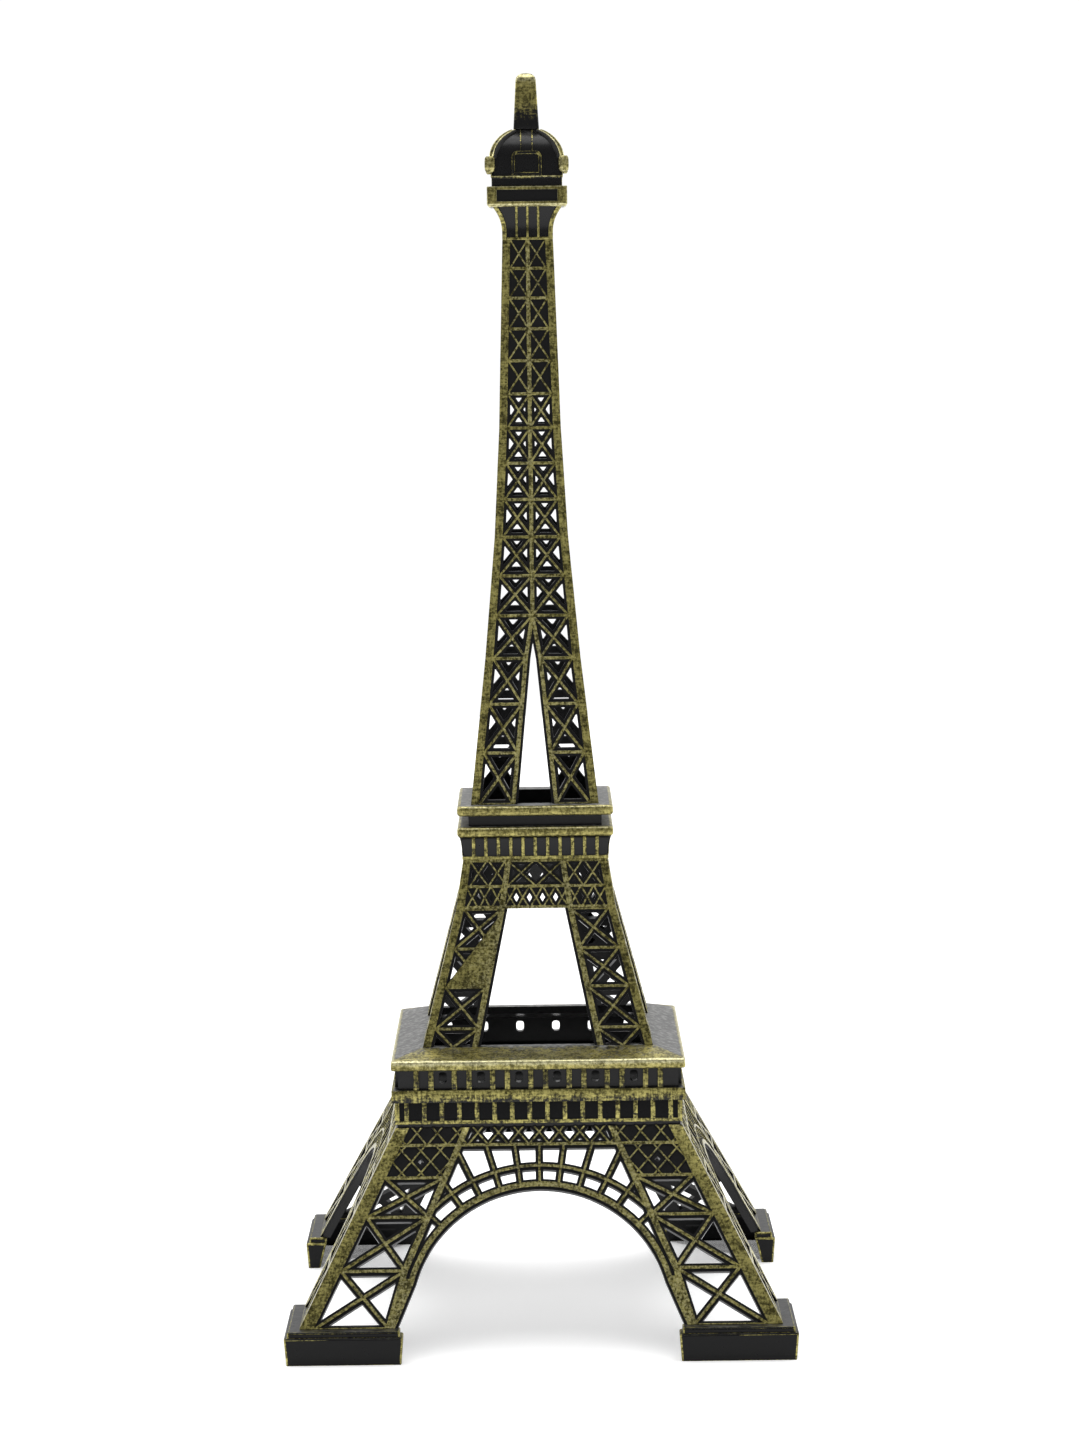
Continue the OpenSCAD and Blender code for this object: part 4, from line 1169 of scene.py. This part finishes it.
    def _doors(self) -> bpy.types.Object:
        """Models a round-shouldered door in a raised frame, with a stem up to the spire, and repeats it."""
        radius = 0.8
        corners = [(self.door_w / 2 - radius * (1 - math.cos(math.radians(a))),
                    self.door_h - radius * (1 - math.sin(math.radians(a)))) for a in (0, 22.5, 45, 67.5, 90)]
        shape = [(self.door_w / 2, 0), *corners, *[(-x, z) for x, z in reversed(corners)], (-self.door_w / 2, 0)]
        door = loft("lantern_doors_casting", [[Vector((x, y, self.z["dome"] + z)) for x, z in shape]
                                              for y in (-self.half + 0.45, -self.half - 0.14)])
        edit(door)
        pick(door, Part.FACES, lambda face: face.normal.y < -0.99)
        bpy.ops.mesh.inset(thickness=0.48 * MM, depth=0)
        bpy.ops.mesh.extrude_region_move(TRANSFORM_OT_translate={"value": (0, 0.3 * MM, 0)})
        bpy.ops.object.mode_set(mode="OBJECT")
        soften(door, 0.1, 2, lambda edge: is_sharp(edge, 50) and edge.is_convex, 0.85)
        start = math.asin(0.22)
        wide = self.stem_w / 2
        stem = self._strip("stem", Vector((0, -1, 0)), 1.0, start, [
            (-wide, -0.6), (-wide, -0.02), (-wide + 0.16, -0.02), (-wide + 0.22, -0.12), (wide - 0.22, -0.12),
            (wide - 0.16, -0.02), (wide, -0.02), (wide, -0.6)])
        layer = stem.data.attributes.new(WEAR_AND_HIGHLIGHT, "FLOAT", "POINT")
        for vert, item in zip(stem.data.vertices, layer.data):
            item.value = 0.8 if wide - 0.18 < abs(vert.co.x / MM) else 0.0
        panel(door, 0.12, 0.0, lambda face: face.calc_area() > 0.3 * MM * MM)
        return on_four_sides(join([door, stem]))

    def dress(self, pieces: dict[str, bpy.types.Object]) -> None:
        """Gives the lantern's pieces their finishes."""
        for node, piece in pieces.items():
            dress(piece, Finish.POLISHED_PAINTED_REFLECTION if node in ("dome_ribs", "dome_lugs") else Finish.DOME)


@dataclass
class Spire:
    """The tapered spire, darker towards its foot, bare towards its rounded tip, with a painted highlight on the tip."""

    z: dict[str, float]
    foot_half: float = 1.85
    tip_half: float = 1.45
    cap_h: float = 1.0

    def build(self) -> bpy.types.Object:
        """Builds the spire and returns it."""
        foot, tip = self.z["dome"] + 6.6, self.z["tip"]
        neck = tip - self.cap_h
        sections = [square(self.foot_half + (self.tip_half - self.foot_half) * i / 8, foot + (neck - foot) * i / 8)
                    for i in range(9)]
        sections += [square(max(self.tip_half * math.cos(math.radians(a)), 0.15),
                            neck + self.cap_h * math.sin(math.radians(a))) for a in (22, 42, 60, 75, 90)]
        spire = loft("spire_casting", sections)
        soften(spire, 0.24, 3, lambda edge: is_sharp(edge, 60))

        def rule(point: Vector) -> float:
            """Goes from dark at the foot to bare at the neck, with a painted highlight on the cap."""
            climb = (point.z - foot) / (neck - foot)
            # painted highlight on the cap; darker towards the foot
            return 1.2 if point.z > neck - 0.01 else 0.4 + 0.68 * climb

        paint_relief(spire, rule)
        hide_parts("spire")
        return spire

    def dress(self, spire: bpy.types.Object) -> None:
        """Gives the spire its finish."""
        dress(spire, Finish.POLISHED_PAINTED_REFLECTION, 50.0)


@dataclass
class StudioStage:
    """The pale floor, the soft lights and the camera."""

    camera_place: tuple[float, float, float] = (0.9, -571.7, 149.3)     # millimetres
    pitch: float = 83.726                                               # degrees up from straight down
    roll: float = -0.73                                                 # degrees
    lens: float = 98.27
    room_light: float = 0.35
    paper_light: float = 0.95
    floor_size: float = 1600.0
    floor_glow: float = 0.3                                             # the table is lit from below too

    def build(self) -> None:
        """Builds the floor, the world, the lights and the camera."""
        self._floor()
        self._world()
        self._lights()
        self._camera()

    def _floor(self) -> None:
        """Lays the floor under the tower."""
        deselect_all()
        bpy.ops.mesh.primitive_plane_add(size=self.floor_size * MM, location=(0, 0, 0))
        floor = bpy.context.object
        floor.name = "floor"
        material = bpy.data.materials.new("pale_floor")
        material.use_nodes = True
        shader = material.node_tree.nodes["Principled BSDF"]
        shader.inputs["Base Color"].default_value = (0.9, 0.9, 0.9, 1)
        shader.inputs["Roughness"].default_value = 0.8
        shader.inputs["Specular IOR Level"].default_value = 0.2
        shader.inputs["Emission Color"].default_value = (1, 1, 1, 1)
        shader.inputs["Emission Strength"].default_value = self.floor_glow
        floor.data.materials.append(material)

    def _world(self) -> None:
        """Fills the studio with soft white light: bright paper behind, a dimmer room in front."""
        world = bpy.data.worlds.new("studio")
        world.use_nodes = True
        world.node_tree.nodes.clear()
        tree = NodeTree(world.node_tree)
        direction = tree.add("ShaderNodeTexCoord").outputs["Generated"]
        depth = tree.add("ShaderNodeSeparateXYZ", {0: direction}).outputs["Y"]
        level = tree.ramp(depth, -0.9, 0.3, self.room_light, self.paper_light)
        seen = tree.add("ShaderNodeLightPath").outputs["Is Camera Ray"]
        strength = tree.ramp(seen, 0.0, 1.0, level, 1.05, smooth=False)
        light = tree.add("ShaderNodeBackground", {"Color": (1, 1, 1, 1), "Strength": strength})
        tree.add("ShaderNodeOutputWorld", {"Surface": light.outputs[0]})
        bpy.context.scene.world = world
        bpy.context.scene.view_settings.view_transform = "Standard"

    def _lights(self) -> None:
        """Hangs the soft boxes: one on each side and a large one above."""
        for name, place, size, power in (
                ("left_box", (-900, 100, 350), 500, 2.0), ("right_box", (900, 100, 350), 500, 2.0),
                ("top_box", (0, 200, 1300), 1500, 15.0)):
            data = bpy.data.lights.new(name, "AREA")
            data.size = size * MM
            data.energy = power
            light = bpy.data.objects.new(name, data)
            light.location = Vector(place) * MM
            target = Vector((0, 0, 80)) * MM
            light.rotation_euler = (light.location - target).to_track_quat("Z", "Y").to_euler()
            bpy.context.scene.collection.objects.link(light)

    def _camera(self) -> None:
        """Sets the camera."""
        data = bpy.data.cameras.new("camera")
        data.lens = self.lens
        data.sensor_width = 36
        data.clip_start = 0.01
        camera = bpy.data.objects.new("camera", data)
        turn = Matrix.Rotation(math.radians(self.pitch), 4, "X") @ Matrix.Rotation(math.radians(self.roll), 4, "Z")
        camera.matrix_world = Matrix.Translation(Vector(self.camera_place) * MM) @ turn
        bpy.context.scene.collection.objects.link(camera)
        bpy.context.scene.camera = camera


def lattice_tiers(z: dict[str, float]) -> list[LatticeTier]:
    """Sets out the facets of the three lattice tiers.

    Args:
        z: Heights of the seams, in millimetres.

    Returns:
        The lower tier, the middle tier and the shaft.
    """
    band_z = z["mid"] + 19.2
    levels = [z["shaft"]]
    for cell in range(15):
        levels.append(levels[-1] + 7.4 - 0.42 * min(cell, 4) - 0.165 * max(cell - 4, 0))
    halves = (9.2, 6.85, 5.3, 4.45, 3.65)
    bends = (0, 3, 6, 9, 15)
    return [
        LatticeTier("lower_side", [Facet(z["leg"], 33.9, z["frieze"], 20.45)], strip_w=2.0, crest_bevel=0.07,
                    merge=0.06),
        LatticeTier("middle_side", [Facet(z["mid"], 16.5, band_z, 11.5), Facet(band_z, 11.5, z["corbel"], 10.4)]),
        LatticeTier("shaft_side", [Facet(levels[bends[i]], halves[i], levels[bends[i + 1]], halves[i + 1])
                                   for i in range(4)], crest_bevel=0.03),
    ]


def main() -> None:
    """Builds the studio and the tower."""
    logging.basicConfig(level=logging.INFO, format="%(name)s: %(message)s")
    StudioStage().build()
    z = heights()
    for assembly in (Feet(), *lattice_tiers(z), FirstPlatform(z), SecondPlatform(z), Head(z), Lantern(z), Spire(z)):
        assembly.dress(assembly.build())


if __name__ == "__main__":
    main()
